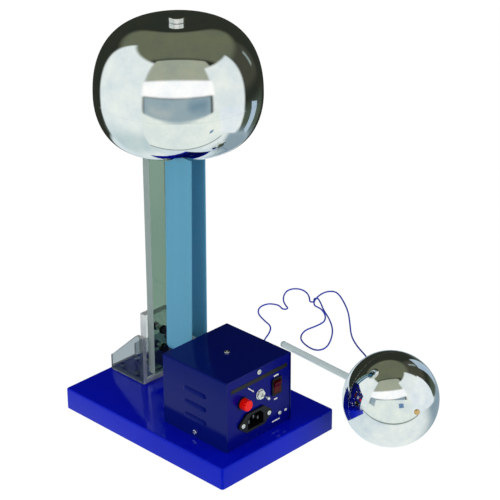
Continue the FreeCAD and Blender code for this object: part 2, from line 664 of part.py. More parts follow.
def make_box_chassis():
    """Folded chassis: front panel, floor with side flanges, and rear panel."""
    floor = box(chassis_left, chassis_right, panel_y, rear_y, BASE_TOP_Z, chassis_floor_z)
    front = box(chassis_left, chassis_right, panel_y, panel_back_y, BASE_TOP_Z, chassis_top)
    rear = box(chassis_left, chassis_right, rear_inner_y, rear_y, BASE_TOP_Z, chassis_top)
    flange_top = BASE_TOP_Z + FLANGE_HEIGHT
    left = box(chassis_left, chassis_left + SHEET, panel_y, rear_y, BASE_TOP_Z, flange_top)
    right = box(chassis_right - SHEET, chassis_right, panel_y, rear_y, BASE_TOP_Z, flange_top)
    studs = [rod(STANDOFF_RADIUS, Vector(x, y, BASE_TOP_Z), Z_AXIS, SHEET + STANDOFF_HEIGHT)
             for x, y in standoff_places()]
    chassis = fuse_all([floor, front, rear, left, right] + studs)
    holes = panel_openings()
    holes += [drill(FOOT_SCREW_RADIUS, Vector(x, y, BASE_TOP_Z), Z_AXIS, SHEET) for x, y in mount_places()]
    holes.append(drill(BEARING_RADIUS, Vector(DRIVE_X, rear_inner_y, drive_z), Y_AXIS, SHEET))
    for side in (-1, 1):
        start = Vector(BOX_CENTRE_X + side * BOX_WIDTH / 2, box_middle_y, BASE_TOP_Z + COVER_SCREW_HEIGHT)
        holes.append(drill(POST_SCREW_RADIUS, start, X_AXIS * -side, 2 * SHEET + SEAT_GAP))
    return cut_all(chassis, holes)


def louvre(side, z):
    """Pressed louvre hood on one side wall, and the slot under it."""
    x_wall = box_left if side < 0 else box_right
    y0 = box_middle_y - LOUVRE_LENGTH / 2
    out = LOUVRE_BULGE * side

    def hood(depth, height, length):
        start_y = box_middle_y - length / 2
        points = [Vector(x_wall, start_y, z), Vector(x_wall + depth, start_y, z),
                  Vector(x_wall + depth * LOUVRE_NOSE_REACH, start_y, z + height * LOUVRE_NOSE_RISE),
                  Vector(x_wall, start_y, z + height)]
        return prism(points, Y_AXIS * length)

    inner_depth = out - LOUVRE_SHEET * side
    inner = hood(inner_depth, LOUVRE_HEIGHT - LOUVRE_SHEET, LOUVRE_LENGTH - 2 * LOUVRE_SHEET)
    outer = hood(out, LOUVRE_HEIGHT, LOUVRE_LENGTH).cut(inner)
    slot_x = sorted((x_wall + SKIN * side, x_wall - (SHEET + OVERCUT) * side))
    slot = box(slot_x[0], slot_x[1], y0 + LOUVRE_SHEET, y0 + LOUVRE_LENGTH - LOUVRE_SHEET,
               z, z + LOUVRE_HEIGHT - 2 * LOUVRE_SHEET)
    return outer, slot


def make_box_cover():
    """Folded cover: top and two louvred sides, with a screw tab behind the panel."""
    outer = box(box_left, box_right, BOX_FRONT_Y, box_rear, BASE_TOP_Z, box_top)
    outer = outer.makeFillet(SHEET, edges_along(outer, Y_AXIS, lambda c: c.z > box_top - SHEET))
    inner = box(box_left + SHEET, box_right - SHEET, BOX_FRONT_Y - OVERCUT, box_rear + OVERCUT,
                BASE_TOP_Z - OVERCUT, box_top - SHEET)
    cover = outer.cut(inner)
    tab_y = panel_back_y + SEAT_GAP
    tab_bottom = box_top - PANEL_SCREW_DROP - PANEL_TAB_DEPTH / 2
    tab = box(BOX_CENTRE_X - PANEL_TAB_DEPTH, BOX_CENTRE_X + PANEL_TAB_DEPTH, tab_y, tab_y + SHEET,
              tab_bottom, box_top - SHEET)
    hoods = []
    slots = []
    for side in (-1, 1):
        for index in range(LOUVRE_COUNT):
            z = BASE_TOP_Z + LOUVRE_FIRST_HEIGHT + index * LOUVRE_PITCH - LOUVRE_HEIGHT / 2
            hood, slot = louvre(side, z)
            hoods.append(hood)
            slots.append(slot)
    cover = fuse_all([cover, tab] + hoods)
    holes = [drill(POST_SCREW_RADIUS, Vector(BOX_CENTRE_X, box_middle_y, box_top - SHEET), Z_AXIS, SHEET),
             drill(POST_SCREW_RADIUS, Vector(BOX_CENTRE_X, tab_y, box_top - PANEL_SCREW_DROP), Y_AXIS, SHEET)]
    for side in (-1, 1):
        start = Vector(BOX_CENTRE_X + side * BOX_WIDTH / 2, box_middle_y, BASE_TOP_Z + COVER_SCREW_HEIGHT)
        holes.append(drill(POST_SCREW_RADIUS, start, X_AXIS * -side, SHEET))
    return cut_all(cover, slots + holes)


def make_cover_screws():
    """Case screws: one in each side, one in the top and one in the panel."""
    length = 2 * SHEET + SEAT_GAP + COVER_SCREW_END
    solids = []
    for side in (-1, 1):
        seat = Vector(BOX_CENTRE_X + side * BOX_WIDTH / 2, box_middle_y, BASE_TOP_Z + COVER_SCREW_HEIGHT)
        solids.append(screw(POST_SCREW_HEAD_RADIUS, COVER_SCREW_HEAD_HEIGHT, POST_SCREW_RADIUS, length,
                            seat, X_AXIS * -side))
    top_seat = Vector(BOX_CENTRE_X, box_middle_y, box_top)
    solids.append(screw(POST_SCREW_HEAD_RADIUS, COVER_SCREW_HEAD_HEIGHT, POST_SCREW_RADIUS,
                        SHEET + BRACKET_SHEET + COVER_SCREW_END, top_seat, Z_AXIS * -1))
    panel_seat = Vector(BOX_CENTRE_X, panel_y, box_top - PANEL_SCREW_DROP)
    solids.append(screw(POST_SCREW_HEAD_RADIUS, COVER_SCREW_HEAD_HEIGHT, POST_SCREW_RADIUS, length,
                        panel_seat, Y_AXIS))
    return group(solids)


def make_box_mount_screws():
    """Four screws from the chassis floor down into the base."""
    return group([screw(FOOT_SCREW_HEAD_RADIUS, FOOT_SCREW_HEAD_HEIGHT, FOOT_SCREW_RADIUS,
                        SHEET + BASE_WALL + MOUNT_SCREW_END, Vector(x, y, chassis_floor_z), Z_AXIS * -1)
                  for x, y in mount_places()])


# ---------------------------------------------------------------- panel fittings
def inlet_outline(width, height, chamfer, y, length):
    """Six-sided prism of the mains socket: a rectangle with its two top corners cut."""
    points = [(-width / 2, -height / 2), (width / 2, -height / 2),
              (width / 2, height / 2 - chamfer), (width / 2 - chamfer, height / 2),
              (-width / 2 + chamfer, height / 2), (-width / 2, height / 2 - chamfer)]
    return prism([Vector(INLET_X + x, y, inlet_z + z) for x, z in points], Y_AXIS * length)


def make_inlet_body():
    """Mains inlet: eared flange and a hollow plug chamber behind it."""
    front = panel_y - INLET_FLANGE_THICKNESS
    plate = box(INLET_X - INLET_BODY_WIDTH / 2, INLET_X + INLET_BODY_WIDTH / 2, front, panel_y,
                inlet_z - INLET_FLANGE_HEIGHT / 2, inlet_z + INLET_FLANGE_HEIGHT / 2)
    ears = []
    for side in (-1, 1):
        x_ear = INLET_X + side * INLET_SCREW_SPACING / 2
        x_body = INLET_X + side * INLET_BODY_WIDTH / 2
        reach = INLET_FLANGE_HEIGHT / 2
        tip = INLET_EAR_RADIUS * INLET_EAR_RISE
        lean = INLET_EAR_RADIUS * INLET_EAR_LEAN * side
        points = [Vector(x_body, front, inlet_z - reach), Vector(x_ear + lean, front, inlet_z - tip),
                  Vector(x_ear + lean, front, inlet_z + tip), Vector(x_body, front, inlet_z + reach)]
        ears.append(prism(points, Y_AXIS * INLET_FLANGE_THICKNESS))
        ears.append(rod(INLET_EAR_RADIUS, Vector(x_ear, front, inlet_z), Y_AXIS, INLET_FLANGE_THICKNESS))
    block = box(INLET_X - INLET_BODY_WIDTH / 2, INLET_X + INLET_BODY_WIDTH / 2, front,
                panel_y + INLET_BODY_DEPTH, inlet_z - INLET_BODY_HEIGHT / 2, inlet_z + INLET_BODY_HEIGHT / 2)
    body = fuse_all([plate, block] + ears)
    cavity = inlet_outline(INLET_CAVITY_WIDTH, INLET_CAVITY_HEIGHT, INLET_CAVITY_CHAMFER,
                           front - OVERCUT, INLET_CAVITY_DEPTH + OVERCUT)
    tools = [cavity]
    for side in (-1, 1):
        place = Vector(INLET_X + side * INLET_SCREW_SPACING / 2, front, inlet_z)
        tools.append(drill(INLET_SCREW_RADIUS, place, Y_AXIS, INLET_FLANGE_THICKNESS))
    return cut_all(body, tools + inlet_pin_bars())


def inlet_pin_bars():
    """The three contact blades, from inside the chamber to the tabs behind it."""
    floor_y = panel_y - INLET_FLANGE_THICKNESS + INLET_CAVITY_DEPTH
    back_y = panel_y + INLET_BODY_DEPTH + INLET_TAB_LENGTH
    half = (INLET_PIN_SIZE[0] / 2, INLET_PIN_SIZE[1] / 2)
    bars = []
    for x_step, z_step in ((-1, -1), (0, 1), (1, -1)):
        x = INLET_X + x_step * INLET_PIN_SPREAD
        z = inlet_z + z_step * INLET_PIN_OFFSET
        bars.append(box(x - half[0], x + half[0], floor_y - INLET_PIN_LENGTH, back_y,
                        z - half[1], z + half[1]))
    return bars


def make_inlet_pins():
    """Three plated contact blades."""
    return group(inlet_pin_bars())


def make_inlet_screws():
    """Two screws and nuts that hold the mains inlet."""
    head_radius, head_height = INLET_SCREW_HEAD
    length = INLET_FLANGE_THICKNESS + SHEET + INLET_SCREW_END
    solids = []
    for side in (-1, 1):
        x = INLET_X + side * INLET_SCREW_SPACING / 2
        seat = Vector(x, panel_y - INLET_FLANGE_THICKNESS, inlet_z)
        solids.append(screw(head_radius, head_height, INLET_SCREW_RADIUS, length, seat, Y_AXIS))
        solids.append(nut(INLET_NUT_FLATS, INLET_SCREW_RADIUS, Vector(x, panel_back_y, inlet_z), Y_AXIS,
                          INLET_NUT_HEIGHT))
    return group(solids)


def make_fuse_holder():
    """Panel fuse holder: bezel, long barrel and a nut behind the panel."""
    front = Vector(FUSE_X, panel_y - FUSE_BEZEL_THICKNESS, row_z)
    bezel = rod(FUSE_BEZEL_RADIUS, front, Y_AXIS, FUSE_BEZEL_THICKNESS)
    barrel = rod(FUSE_BARREL_RADIUS, front, Y_AXIS, FUSE_BEZEL_THICKNESS + FUSE_BARREL_LENGTH)
    ring = hexagon(FUSE_NUT_FLATS, Vector(FUSE_X, panel_back_y, row_z), Y_AXIS, FUSE_NUT_HEIGHT)
    bore = drill(FUSE_CARRIER_RADIUS + FIT_GAP, front, Y_AXIS,
                 FUSE_LINK_START + FUSE_LINK_LENGTH + FUSE_BORE_SPARE)
    return fuse_all([bezel, barrel, ring]).cut(bore)


def make_fuse_cap():
    """Fluted red cap with the carrier that grips the fuse."""
    seat_y = panel_y - FUSE_BEZEL_THICKNESS - FIT_GAP
    front_y = seat_y - FUSE_CAP_LENGTH
    cap = rod(FUSE_CAP_RADIUS, Vector(FUSE_X, front_y, row_z), Y_AXIS, FUSE_CAP_LENGTH)
    rim = [e for e in cap.Edges if isinstance(e.Curve, Part.Circle) and e.Curve.Center.y < front_y + FUSE_CAP_EDGE]
    cap = cap.makeFillet(FUSE_CAP_EDGE, rim)
    flutes = []
    for index in range(FUSE_CAP_FLUTES):
        angle = 2 * math.pi * index / FUSE_CAP_FLUTES
        place = Vector(FUSE_X + FUSE_CAP_RADIUS * math.cos(angle), front_y - OVERCUT,
                       row_z + FUSE_CAP_RADIUS * math.sin(angle))
        flutes.append(rod(FUSE_FLUTE_RADIUS, place, Y_AXIS, FUSE_CAP_LENGTH - FUSE_FLUTE_STOP + OVERCUT))
    carrier = rod(FUSE_CARRIER_RADIUS, Vector(FUSE_X, seat_y, row_z), Y_AXIS, FUSE_CARRIER_LENGTH)
    pocket = rod(FUSE_LINK_RADIUS, Vector(FUSE_X, seat_y + FUSE_LINK_START, row_z), Y_AXIS, FUSE_CARRIER_LENGTH)
    return fuse_all([cut_all(cap, flutes), carrier]).cut(pocket)


def make_fuse_link():
    """Glass cartridge fuse held in the cap."""
    start = Vector(FUSE_X, panel_y - FUSE_BEZEL_THICKNESS - FIT_GAP + FUSE_LINK_START, row_z)
    return rod(FUSE_LINK_RADIUS, start, Y_AXIS, FUSE_LINK_LENGTH)


toggle_pivot_y = panel_y - TOGGLE_BUSH_LENGTH + TOGGLE_PIVOT_DEPTH
toggle_pivot = Vector(TOGGLE_X, toggle_pivot_y, row_z)


def make_toggle_body():
    """Toggle switch case with its threaded bush through the panel, drilled for the lever's pin."""
    width, depth, height = TOGGLE_BODY
    case = box(TOGGLE_X - width / 2, TOGGLE_X + width / 2, panel_back_y, panel_back_y + depth,
               row_z - height / 2, row_z + height / 2)
    bush = rod(TOGGLE_BUSH_RADIUS, Vector(TOGGLE_X, panel_y - TOGGLE_BUSH_LENGTH, row_z), Y_AXIS,
               TOGGLE_BUSH_LENGTH + SHEET)
    tab_width, tab_length, tab_thickness = TOGGLE_TAB
    tabs = []
    for step in (-1, 0, 1):
        z = row_z + step * TOGGLE_TAB_PITCH
        tabs.append(box(TOGGLE_X - tab_width / 2, TOGGLE_X + tab_width / 2, panel_back_y + depth,
                        panel_back_y + depth + tab_length, z - tab_thickness / 2, z + tab_thickness / 2))
    bore = rod(TOGGLE_BORE_RADIUS, Vector(TOGGLE_X, panel_y - TOGGLE_BUSH_LENGTH - OVERCUT, row_z), Y_AXIS,
               TOGGLE_BUSH_LENGTH + SHEET + TOGGLE_BORE_SPARE + OVERCUT)
    pin_hole = drill(TOGGLE_PIN_RADIUS + FIT_GAP, toggle_pivot - X_AXIS * TOGGLE_BUSH_RADIUS, X_AXIS,
                     2 * TOGGLE_BUSH_RADIUS)
    return cut_all(fuse_all([case, bush] + tabs), [bore, pin_hole])


def make_toggle_nut():
    """Washer and hexagon nut on the toggle's bush."""
    washer = rod(TOGGLE_WASHER_RADIUS, Vector(TOGGLE_X, panel_y - TOGGLE_WASHER_THICKNESS, row_z), Y_AXIS,
                 TOGGLE_WASHER_THICKNESS)
    nut_y = panel_y - TOGGLE_WASHER_THICKNESS - TOGGLE_NUT_THICKNESS
    ring = nut(TOGGLE_NUT_FLATS, TOGGLE_BUSH_RADIUS, Vector(TOGGLE_X, nut_y, row_z), Y_AXIS, TOGGLE_NUT_THICKNESS)
    bore = drill(TOGGLE_BUSH_RADIUS, Vector(TOGGLE_X, panel_y - TOGGLE_WASHER_THICKNESS, row_z), Y_AXIS,
                 TOGGLE_WASHER_THICKNESS)
    return group([washer.cut(bore), ring])


def make_toggle_lever():
    """Bat lever with a ball end, rocking on a pin through the bush."""
    reach = TOGGLE_LEVER_LENGTH - TOGGLE_LEVER_TIP_RADIUS
    bat = Part.makeCone(TOGGLE_LEVER_ROOT_RADIUS, TOGGLE_LEVER_NECK_RADIUS, reach, toggle_pivot, Y_AXIS * -1)
    ball = Part.makeSphere(TOGGLE_LEVER_TIP_RADIUS, toggle_pivot - Y_AXIS * reach)
    pivot_ball = Part.makeSphere(TOGGLE_BORE_RADIUS - FIT_GAP, toggle_pivot)
    tail = rod(TOGGLE_TAIL_RADIUS, toggle_pivot, Y_AXIS, TOGGLE_TAIL_LENGTH)
    half = TOGGLE_BUSH_RADIUS - TOGGLE_PIN_MARGIN
    pin = rod(TOGGLE_PIN_RADIUS, toggle_pivot - X_AXIS * half, X_AXIS, 2 * half)
    return fuse_all([bat, ball, pivot_ball, tail, pin])


rocker_pivot_y = panel_y + ROCKER_PIVOT_DEPTH


def make_rocker_housing():
    """Rocker switch frame and case."""
    front = panel_y - ROCKER_BEZEL_THICKNESS
    bezel = rounded_box(ROCKER_X - ROCKER_WIDTH / 2, ROCKER_X + ROCKER_WIDTH / 2, front, panel_y,
                        row_z - ROCKER_HEIGHT / 2, row_z + ROCKER_HEIGHT / 2, ROCKER_BEZEL_RADIUS, Y_AXIS)
    half_x = ROCKER_WIDTH / 2 - ROCKER_BODY_MARGIN
    half_z = ROCKER_HEIGHT / 2 - ROCKER_BODY_MARGIN
    case = box(ROCKER_X - half_x, ROCKER_X + half_x, front, panel_y + ROCKER_BODY_DEPTH,
               row_z - half_z, row_z + half_z)
    tab_width, tab_length, tab_thickness = ROCKER_TAB
    case_back = panel_y + ROCKER_BODY_DEPTH
    tabs = []
    for side in (-1, 1):
        z = row_z + side * ROCKER_TAB_OFFSET
        tabs.append(box(ROCKER_X - tab_width / 2, ROCKER_X + tab_width / 2, case_back,
                        case_back + tab_length, z - tab_thickness / 2, z + tab_thickness / 2))
    window = box(ROCKER_X - ROCKER_WINDOW[0] / 2, ROCKER_X + ROCKER_WINDOW[0] / 2, front - OVERCUT,
                 case_back - ROCKER_FLOOR, row_z - ROCKER_WINDOW[1] / 2, row_z + ROCKER_WINDOW[1] / 2)
    reach = half_x - ROCKER_PIN_SEAT
    pin = rod(ROCKER_PIN_RADIUS, Vector(ROCKER_X - reach, rocker_pivot_y, row_z), X_AXIS, 2 * reach)
    return fuse_all([fuse_all([bezel, case] + tabs).cut(window), pin])


def make_rocker_button():
    """See-through rocker, lying in its off position: upper end out, lower end pressed."""
    half_w = ROCKER_WINDOW[0] / 2 - ROCKER_SIDE_GAP
    half_h = ROCKER_WINDOW[1] / 2 - ROCKER_END_GAP
    rise = math.tan(math.radians(ROCKER_TILT)) * half_h
    front = panel_y - ROCKER_BEZEL_THICKNESS - ROCKER_BUTTON_PROUD
    hub = half_h * ROCKER_HUB_SHARE
    hub_y = rocker_pivot_y + ROCKER_HUB_DROP
    rim_y = front + ROCKER_RIM
    outline = [(-half_h, front - rise), (0, front), (half_h, front - rise), (half_h, rim_y),
               (hub, hub_y), (-hub, hub_y), (-half_h, rim_y)]
    points = [Vector(ROCKER_X - half_w, y, row_z + dz) for dz, y in outline]
    button = prism(points, X_AXIS * 2 * half_w)
    pivot = Vector(ROCKER_X, rocker_pivot_y, row_z)
    bore = rod(ROCKER_PIN_RADIUS + FIT_GAP, pivot - X_AXIS * ROCKER_WIDTH, X_AXIS, 2 * ROCKER_WIDTH)
    button = button.cut(bore)
    button.rotate(pivot, X_AXIS, ROCKER_TILT)
    return button


def make_earth_screw():
    """Earth screw of the front panel with its nut."""
    z = BASE_TOP_Z + EARTH_HEIGHT
    head = screw(EARTH_HEAD_RADIUS, EARTH_HEAD_HEIGHT, EARTH_SCREW_RADIUS, SHEET + EARTH_SCREW_END,
                 Vector(EARTH_X, panel_y, z), Y_AXIS)
    return group([head, nut(EARTH_NUT_FLATS, EARTH_SCREW_RADIUS, Vector(EARTH_X, panel_back_y, z), Y_AXIS,
                            EARTH_NUT_HEIGHT)])


# ---------------------------------------------------------------- power supply
core_left = chassis_left + SHEET + COVER_SCREW_END + CORE_SIDE_GAP
core_centre_x = core_left + CORE_SIZE[0] / 2
core_front = CORE_CENTRE_Y - CORE_SIZE[1] / 2
core_windows_z = (chassis_floor_z + (CORE_SIZE[2] - COIL_HEIGHT) / 2,
                  chassis_floor_z + (CORE_SIZE[2] + COIL_HEIGHT) / 2)
core_leg = CORE_SIZE[0] / 6


def make_transformer_core():
    """Laminated core: two windows round a middle leg."""
    core = box(core_left, core_left + CORE_SIZE[0], core_front, core_front + CORE_SIZE[1],
               chassis_floor_z, chassis_floor_z + CORE_SIZE[2])
    windows = []
    for side in (-1, 1):
        inner = core_centre_x + side * core_leg
        outer = core_centre_x + side * (CORE_SIZE[0] / 2 - core_leg)
        x0, x1 = sorted((inner, outer))
        windows.append(box(x0, x1, core_front - OVERCUT, core_front + CORE_SIZE[1] + OVERCUT, *core_windows_z))
    return cut_all(core, windows)


def make_transformer_coil():
    """Winding on the middle leg of the core."""
    gap = SEAT_GAP
    half_x = CORE_SIZE[0] / 2 - core_leg - gap
    outer = rounded_box(core_centre_x - half_x, core_centre_x + half_x,
                        core_front - COIL_MARGIN, core_front + CORE_SIZE[1] + COIL_MARGIN,
                        core_windows_z[0] + gap, core_windows_z[1] - gap, COIL_CORNER)
    hole = box(core_centre_x - core_leg, core_centre_x + core_leg, core_front, core_front + CORE_SIZE[1],
               core_windows_z[0] - OVERCUT, core_windows_z[1] + OVERCUT)
    return outer.cut(hole)


board_z = chassis_floor_z + STANDOFF_HEIGHT


def make_rectifier_board():
    """Circuit board on the chassis studs."""
    return box(BOARD_CENTRE_X - BOARD_SIZE[0] / 2, BOARD_CENTRE_X + BOARD_SIZE[0] / 2,
               BOARD_CENTRE_Y - BOARD_SIZE[1] / 2, BOARD_CENTRE_Y + BOARD_SIZE[1] / 2,
               board_z, board_z + BOARD_SIZE[2])


def make_board_parts():
    """Capacitor, four diodes and a terminal block on the board."""
    top = board_z + BOARD_SIZE[2]
    place = Vector(BOARD_CENTRE_X + CAPACITOR_PLACE[0], BOARD_CENTRE_Y + CAPACITOR_PLACE[1], top)
    solids = [rod(CAPACITOR_RADIUS, place, Z_AXIS, CAPACITOR_HEIGHT)]
    for index in range(DIODE_COUNT):
        y = BOARD_CENTRE_Y + DIODE_FIRST_Y + DIODE_PITCH * index
        start = Vector(BOARD_CENTRE_X - DIODE_LENGTH / 2, y, top + DIODE_RADIUS)
        solids.append(rod(DIODE_RADIUS, start, X_AXIS, DIODE_LENGTH))
    width, depth, height = TERMINAL_BLOCK_SIZE
    block_y = BOARD_CENTRE_Y - BOARD_SIZE[1] / 2 + TERMINAL_BLOCK_MARGIN
    solids.append(box(BOARD_CENTRE_X - width / 2, BOARD_CENTRE_X + width / 2, block_y, block_y + depth,
                      top, top + height))
    return group(solids)


# ---------------------------------------------------------------- drive
motor_back_y = MOTOR_FACE_Y - MOTOR_LENGTH
bracket_front_y = MOTOR_FACE_Y + BRACKET_SHEET
shaft_join_y = MOTOR_FACE_Y + MOTOR_SHAFT_STICKOUT
bearing_front_y = rear_y + BEARING_PROUD
bearing_back_y = bearing_front_y - BEARING_LENGTH
coupler_start_y = bracket_front_y + COUPLER_GAP
coupler_length = bearing_back_y - COUPLER_GAP - coupler_start_y


def on_drive(y):
    """Point on the axis of the drive."""
    return Vector(DRIVE_X, y, drive_z)


def motor_screw_places():
    """Two screw holes in the motor's face, above and below its shaft."""
    return [on_drive(MOTOR_FACE_Y) + Z_AXIS * (side * MOTOR_SCREW_SPACING / 2) for side in (-1, 1)]


def make_motor_case():
    """Drawn steel motor can, closed at the shaft end."""
    can = rod(MOTOR_RADIUS, on_drive(motor_back_y), Y_AXIS, MOTOR_LENGTH)
    nose = rod(MOTOR_BEARING_RADIUS, on_drive(MOTOR_FACE_Y), Y_AXIS, MOTOR_BEARING_LENGTH)
    hollow = rod(MOTOR_RADIUS - MOTOR_WALL, on_drive(motor_back_y - OVERCUT), Y_AXIS,
                 MOTOR_LENGTH - MOTOR_WALL + OVERCUT)
    bore = drill(MOTOR_SHAFT_RADIUS + FIT_GAP, on_drive(MOTOR_FACE_Y - MOTOR_WALL), Y_AXIS,
                 MOTOR_WALL + MOTOR_BEARING_LENGTH)
    holes = [drill(MOTOR_SCREW_RADIUS, place - Y_AXIS * MOTOR_WALL, Y_AXIS, MOTOR_WALL)
             for place in motor_screw_places()]
    return cut_all(fuse_all([can, nose]), [hollow, bore] + holes)


def make_motor_end_cap():
    """Moulded brush cap with its two terminals."""
    start = on_drive(motor_back_y - MOTOR_END_CAP_LENGTH)
    cap = rod(MOTOR_RADIUS, start, Y_AXIS, MOTOR_END_CAP_LENGTH)
    spigot = rod(MOTOR_RADIUS - MOTOR_WALL - MOTOR_SPIGOT_GAP, on_drive(motor_back_y), Y_AXIS,
                 MOTOR_SPIGOT_LENGTH)
    width, length, thickness = MOTOR_TAB
    tabs = []
    for side in (-1, 1):
        x = DRIVE_X + side * MOTOR_TAB_SPREAD
        tabs.append(box(x - width / 2, x + width / 2, start.y - length, start.y,
                        drive_z - thickness / 2, drive_z + thickness / 2))
    bore = drill(MOTOR_SHAFT_RADIUS + FIT_GAP, start, Y_AXIS, MOTOR_END_CAP_LENGTH + MOTOR_SPIGOT_LENGTH)
    return fuse_all([cap, spigot] + tabs).cut(bore)


def make_motor_rotor():
    """Armature, commutator and motor shaft."""
    shaft_start = motor_back_y - MOTOR_END_CAP_LENGTH
    shaft = rod(MOTOR_SHAFT_RADIUS, on_drive(shaft_start), Y_AXIS, shaft_join_y - shaft_start)
    armature_y = MOTOR_FACE_Y - MOTOR_WALL - ARMATURE_GAP - ARMATURE_LENGTH
    armature = rod(ARMATURE_RADIUS, on_drive(armature_y), Y_AXIS, ARMATURE_LENGTH)
    commutator = rod(COMMUTATOR_RADIUS, on_drive(armature_y - COMMUTATOR_LENGTH), Y_AXIS, COMMUTATOR_LENGTH)
    return fuse_all([shaft, armature, commutator])


def make_motor_bracket():
    """C-shaped bracket: foot on the floor, face plate for the motor, flange under the top."""
    left = DRIVE_X - BRACKET_WIDTH / 2
    right = DRIVE_X + BRACKET_WIDTH / 2
    under_top = box_top - SHEET
    reach_y = box_middle_y - BRACKET_TOP_REACH
    foot_y = bracket_front_y - BRACKET_FOOT_LENGTH
    plate = box(left, right, MOTOR_FACE_Y, bracket_front_y, chassis_floor_z, under_top)
    foot = box(left, right, foot_y, bracket_front_y, chassis_floor_z, chassis_floor_z + BRACKET_SHEET)
    flange = box(left, right, reach_y, bracket_front_y, under_top - BRACKET_SHEET, under_top)
    holes = [drill(MOTOR_BEARING_RADIUS, on_drive(MOTOR_FACE_Y), Y_AXIS, BRACKET_SHEET),
             drill(POST_SCREW_RADIUS, Vector(BOX_CENTRE_X, box_middle_y, under_top - BRACKET_SHEET),
                   Z_AXIS, BRACKET_SHEET)]
    holes += [drill(MOTOR_SCREW_RADIUS, place, Y_AXIS, BRACKET_SHEET) for place in motor_screw_places()]
    return cut_all(fuse_all([plate, foot, flange]), holes)


def make_motor_screws():
    """Two screws through the bracket into the motor's face."""
    head_radius, head_height = MOTOR_SCREW_HEAD
    length = BRACKET_SHEET + MOTOR_WALL + MOTOR_SCREW_END
    return group([screw(head_radius, head_height, MOTOR_SCREW_RADIUS, length,
                        place + Y_AXIS * BRACKET_SHEET, Y_AXIS * -1) for place in motor_screw_places()])


def make_shaft_coupler():
    """Sleeve that joins the motor shaft to the roller shaft."""
    start = on_drive(coupler_start_y)
    sleeve = rod(COUPLER_RADIUS, start, Y_AXIS, coupler_length)
    small = rod(MOTOR_SHAFT_RADIUS, start - Y_AXIS, Y_AXIS, coupler_length)
    large = rod(SHAFT_RADIUS, on_drive(shaft_join_y), Y_AXIS, coupler_length)
    return sleeve.cut(small).cut(large)


def make_rear_bearing():
    """Flanged bronze bush in the rear panel."""
    start = on_drive(bearing_back_y)
    body = rod(BEARING_RADIUS, start, Y_AXIS, BEARING_LENGTH)
    flange = rod(BEARING_FLANGE_RADIUS, on_drive(rear_inner_y - BEARING_FLANGE_THICKNESS), Y_AXIS,
                 BEARING_FLANGE_THICKNESS)
    bore = drill(SHAFT_RADIUS + FIT_GAP, start, Y_AXIS, BEARING_LENGTH)
    return fuse_all([body, flange]).cut(bore)


def make_roller_shaft():
    """Driven shaft that carries the lower roller."""
    end_y = roller_back_y + SHAFT_NUT_LENGTH - SHAFT_END_MARGIN
    return rod(SHAFT_RADIUS, on_drive(shaft_join_y), Y_AXIS, end_y - shaft_join_y)


def crowned_roller(radius, x, z, bore_radius):
    """Slightly barrel-shaped roller that keeps the belt in its middle."""
    end_radius = radius - ROLLER_CROWN
    half = ROLLER_LENGTH / 2
    crown = Part.Arc(Vector(end_radius, 0, 0), Vector(radius, 0, half),
                     Vector(end_radius, 0, ROLLER_LENGTH)).toShape()
    corners = [Vector(end_radius, 0, ROLLER_LENGTH), Vector(bore_radius, 0, ROLLER_LENGTH),
               Vector(bore_radius, 0, 0), Vector(end_radius, 0, 0)]
    sides = [Part.makeLine(corners[i], corners[i + 1]) for i in range(3)]
    face = Part.Face(Part.Wire([crown] + sides))
    roller = face.revolve(Vector(0, 0, 0), Z_AXIS, 360)
    roller.Placement = FreeCAD.Placement(Vector(x, roller_front_y, z), FreeCAD.Rotation(Z_AXIS, Y_AXIS))
    return roller


def make_lower_roller():
    """Driving roller, pressed on the shaft."""
    return crowned_roller(LOWER_ROLLER_RADIUS, DRIVE_X, drive_z, SHAFT_RADIUS)


def make_shaft_nut():
    """Long dark nut that clamps the lower roller."""
    sleeve = rod(SHAFT_NUT_RADIUS, on_drive(roller_back_y), Y_AXIS, SHAFT_NUT_LENGTH)
    rim = [e for e in sleeve.Edges if isinstance(e.Curve, Part.Circle)
           and e.Curve.Center.y > roller_back_y + SHAFT_NUT_EDGE]
    sleeve = sleeve.makeFillet(SHAFT_NUT_EDGE, rim)
    bore = rod(SHAFT_RADIUS, on_drive(roller_back_y - OVERCUT), Y_AXIS,
               SHAFT_NUT_LENGTH - SHAFT_END_MARGIN + OVERCUT)
    return sleeve.cut(bore)


def belt_path(gap):
    """Closed outline round both rollers, at a distance from them: two arcs and their outer tangents."""
    low = Vector(DRIVE_X, 0, drive_z)
    high = Vector(0, 0, upper_roller_z)
    low_radius = LOWER_ROLLER_RADIUS + gap
    high_radius = UPPER_ROLLER_RADIUS + gap
    between = high - low
    lean = (low_radius - high_radius) / between.Length
    between.normalize()
    ends = []
    for side in (-1, 1):
        across = Vector(side * between.z, 0, -side * between.x)
        normal = across * math.sqrt(1 - lean ** 2) + between * lean
        ends.append((low + normal * low_radius, high + normal * high_radius))
    (low_left, high_left), (low_right, high_right) = ends
    return Part.Wire([Part.makeLine(low_left, high_left),
                      Part.Arc(high_left, high + between * high_radius, high_right).toShape(),
                      Part.makeLine(high_right, low_right),
                      Part.Arc(low_right, low - between * low_radius, low_left).toShape()])


def make_charge_belt():
    """Endless rubber belt round both rollers."""
    outer = Part.Face(belt_path(BELT_GAP + BELT_THICKNESS)).extrude(Y_AXIS * BELT_WIDTH)
    inner = Part.Face(belt_path(BELT_GAP)).extrude(Y_AXIS * BELT_WIDTH)
    belt = outer.cut(inner)
    belt.translate(Y_AXIS * (BELT_CENTRE_Y - BELT_WIDTH / 2))
    return belt


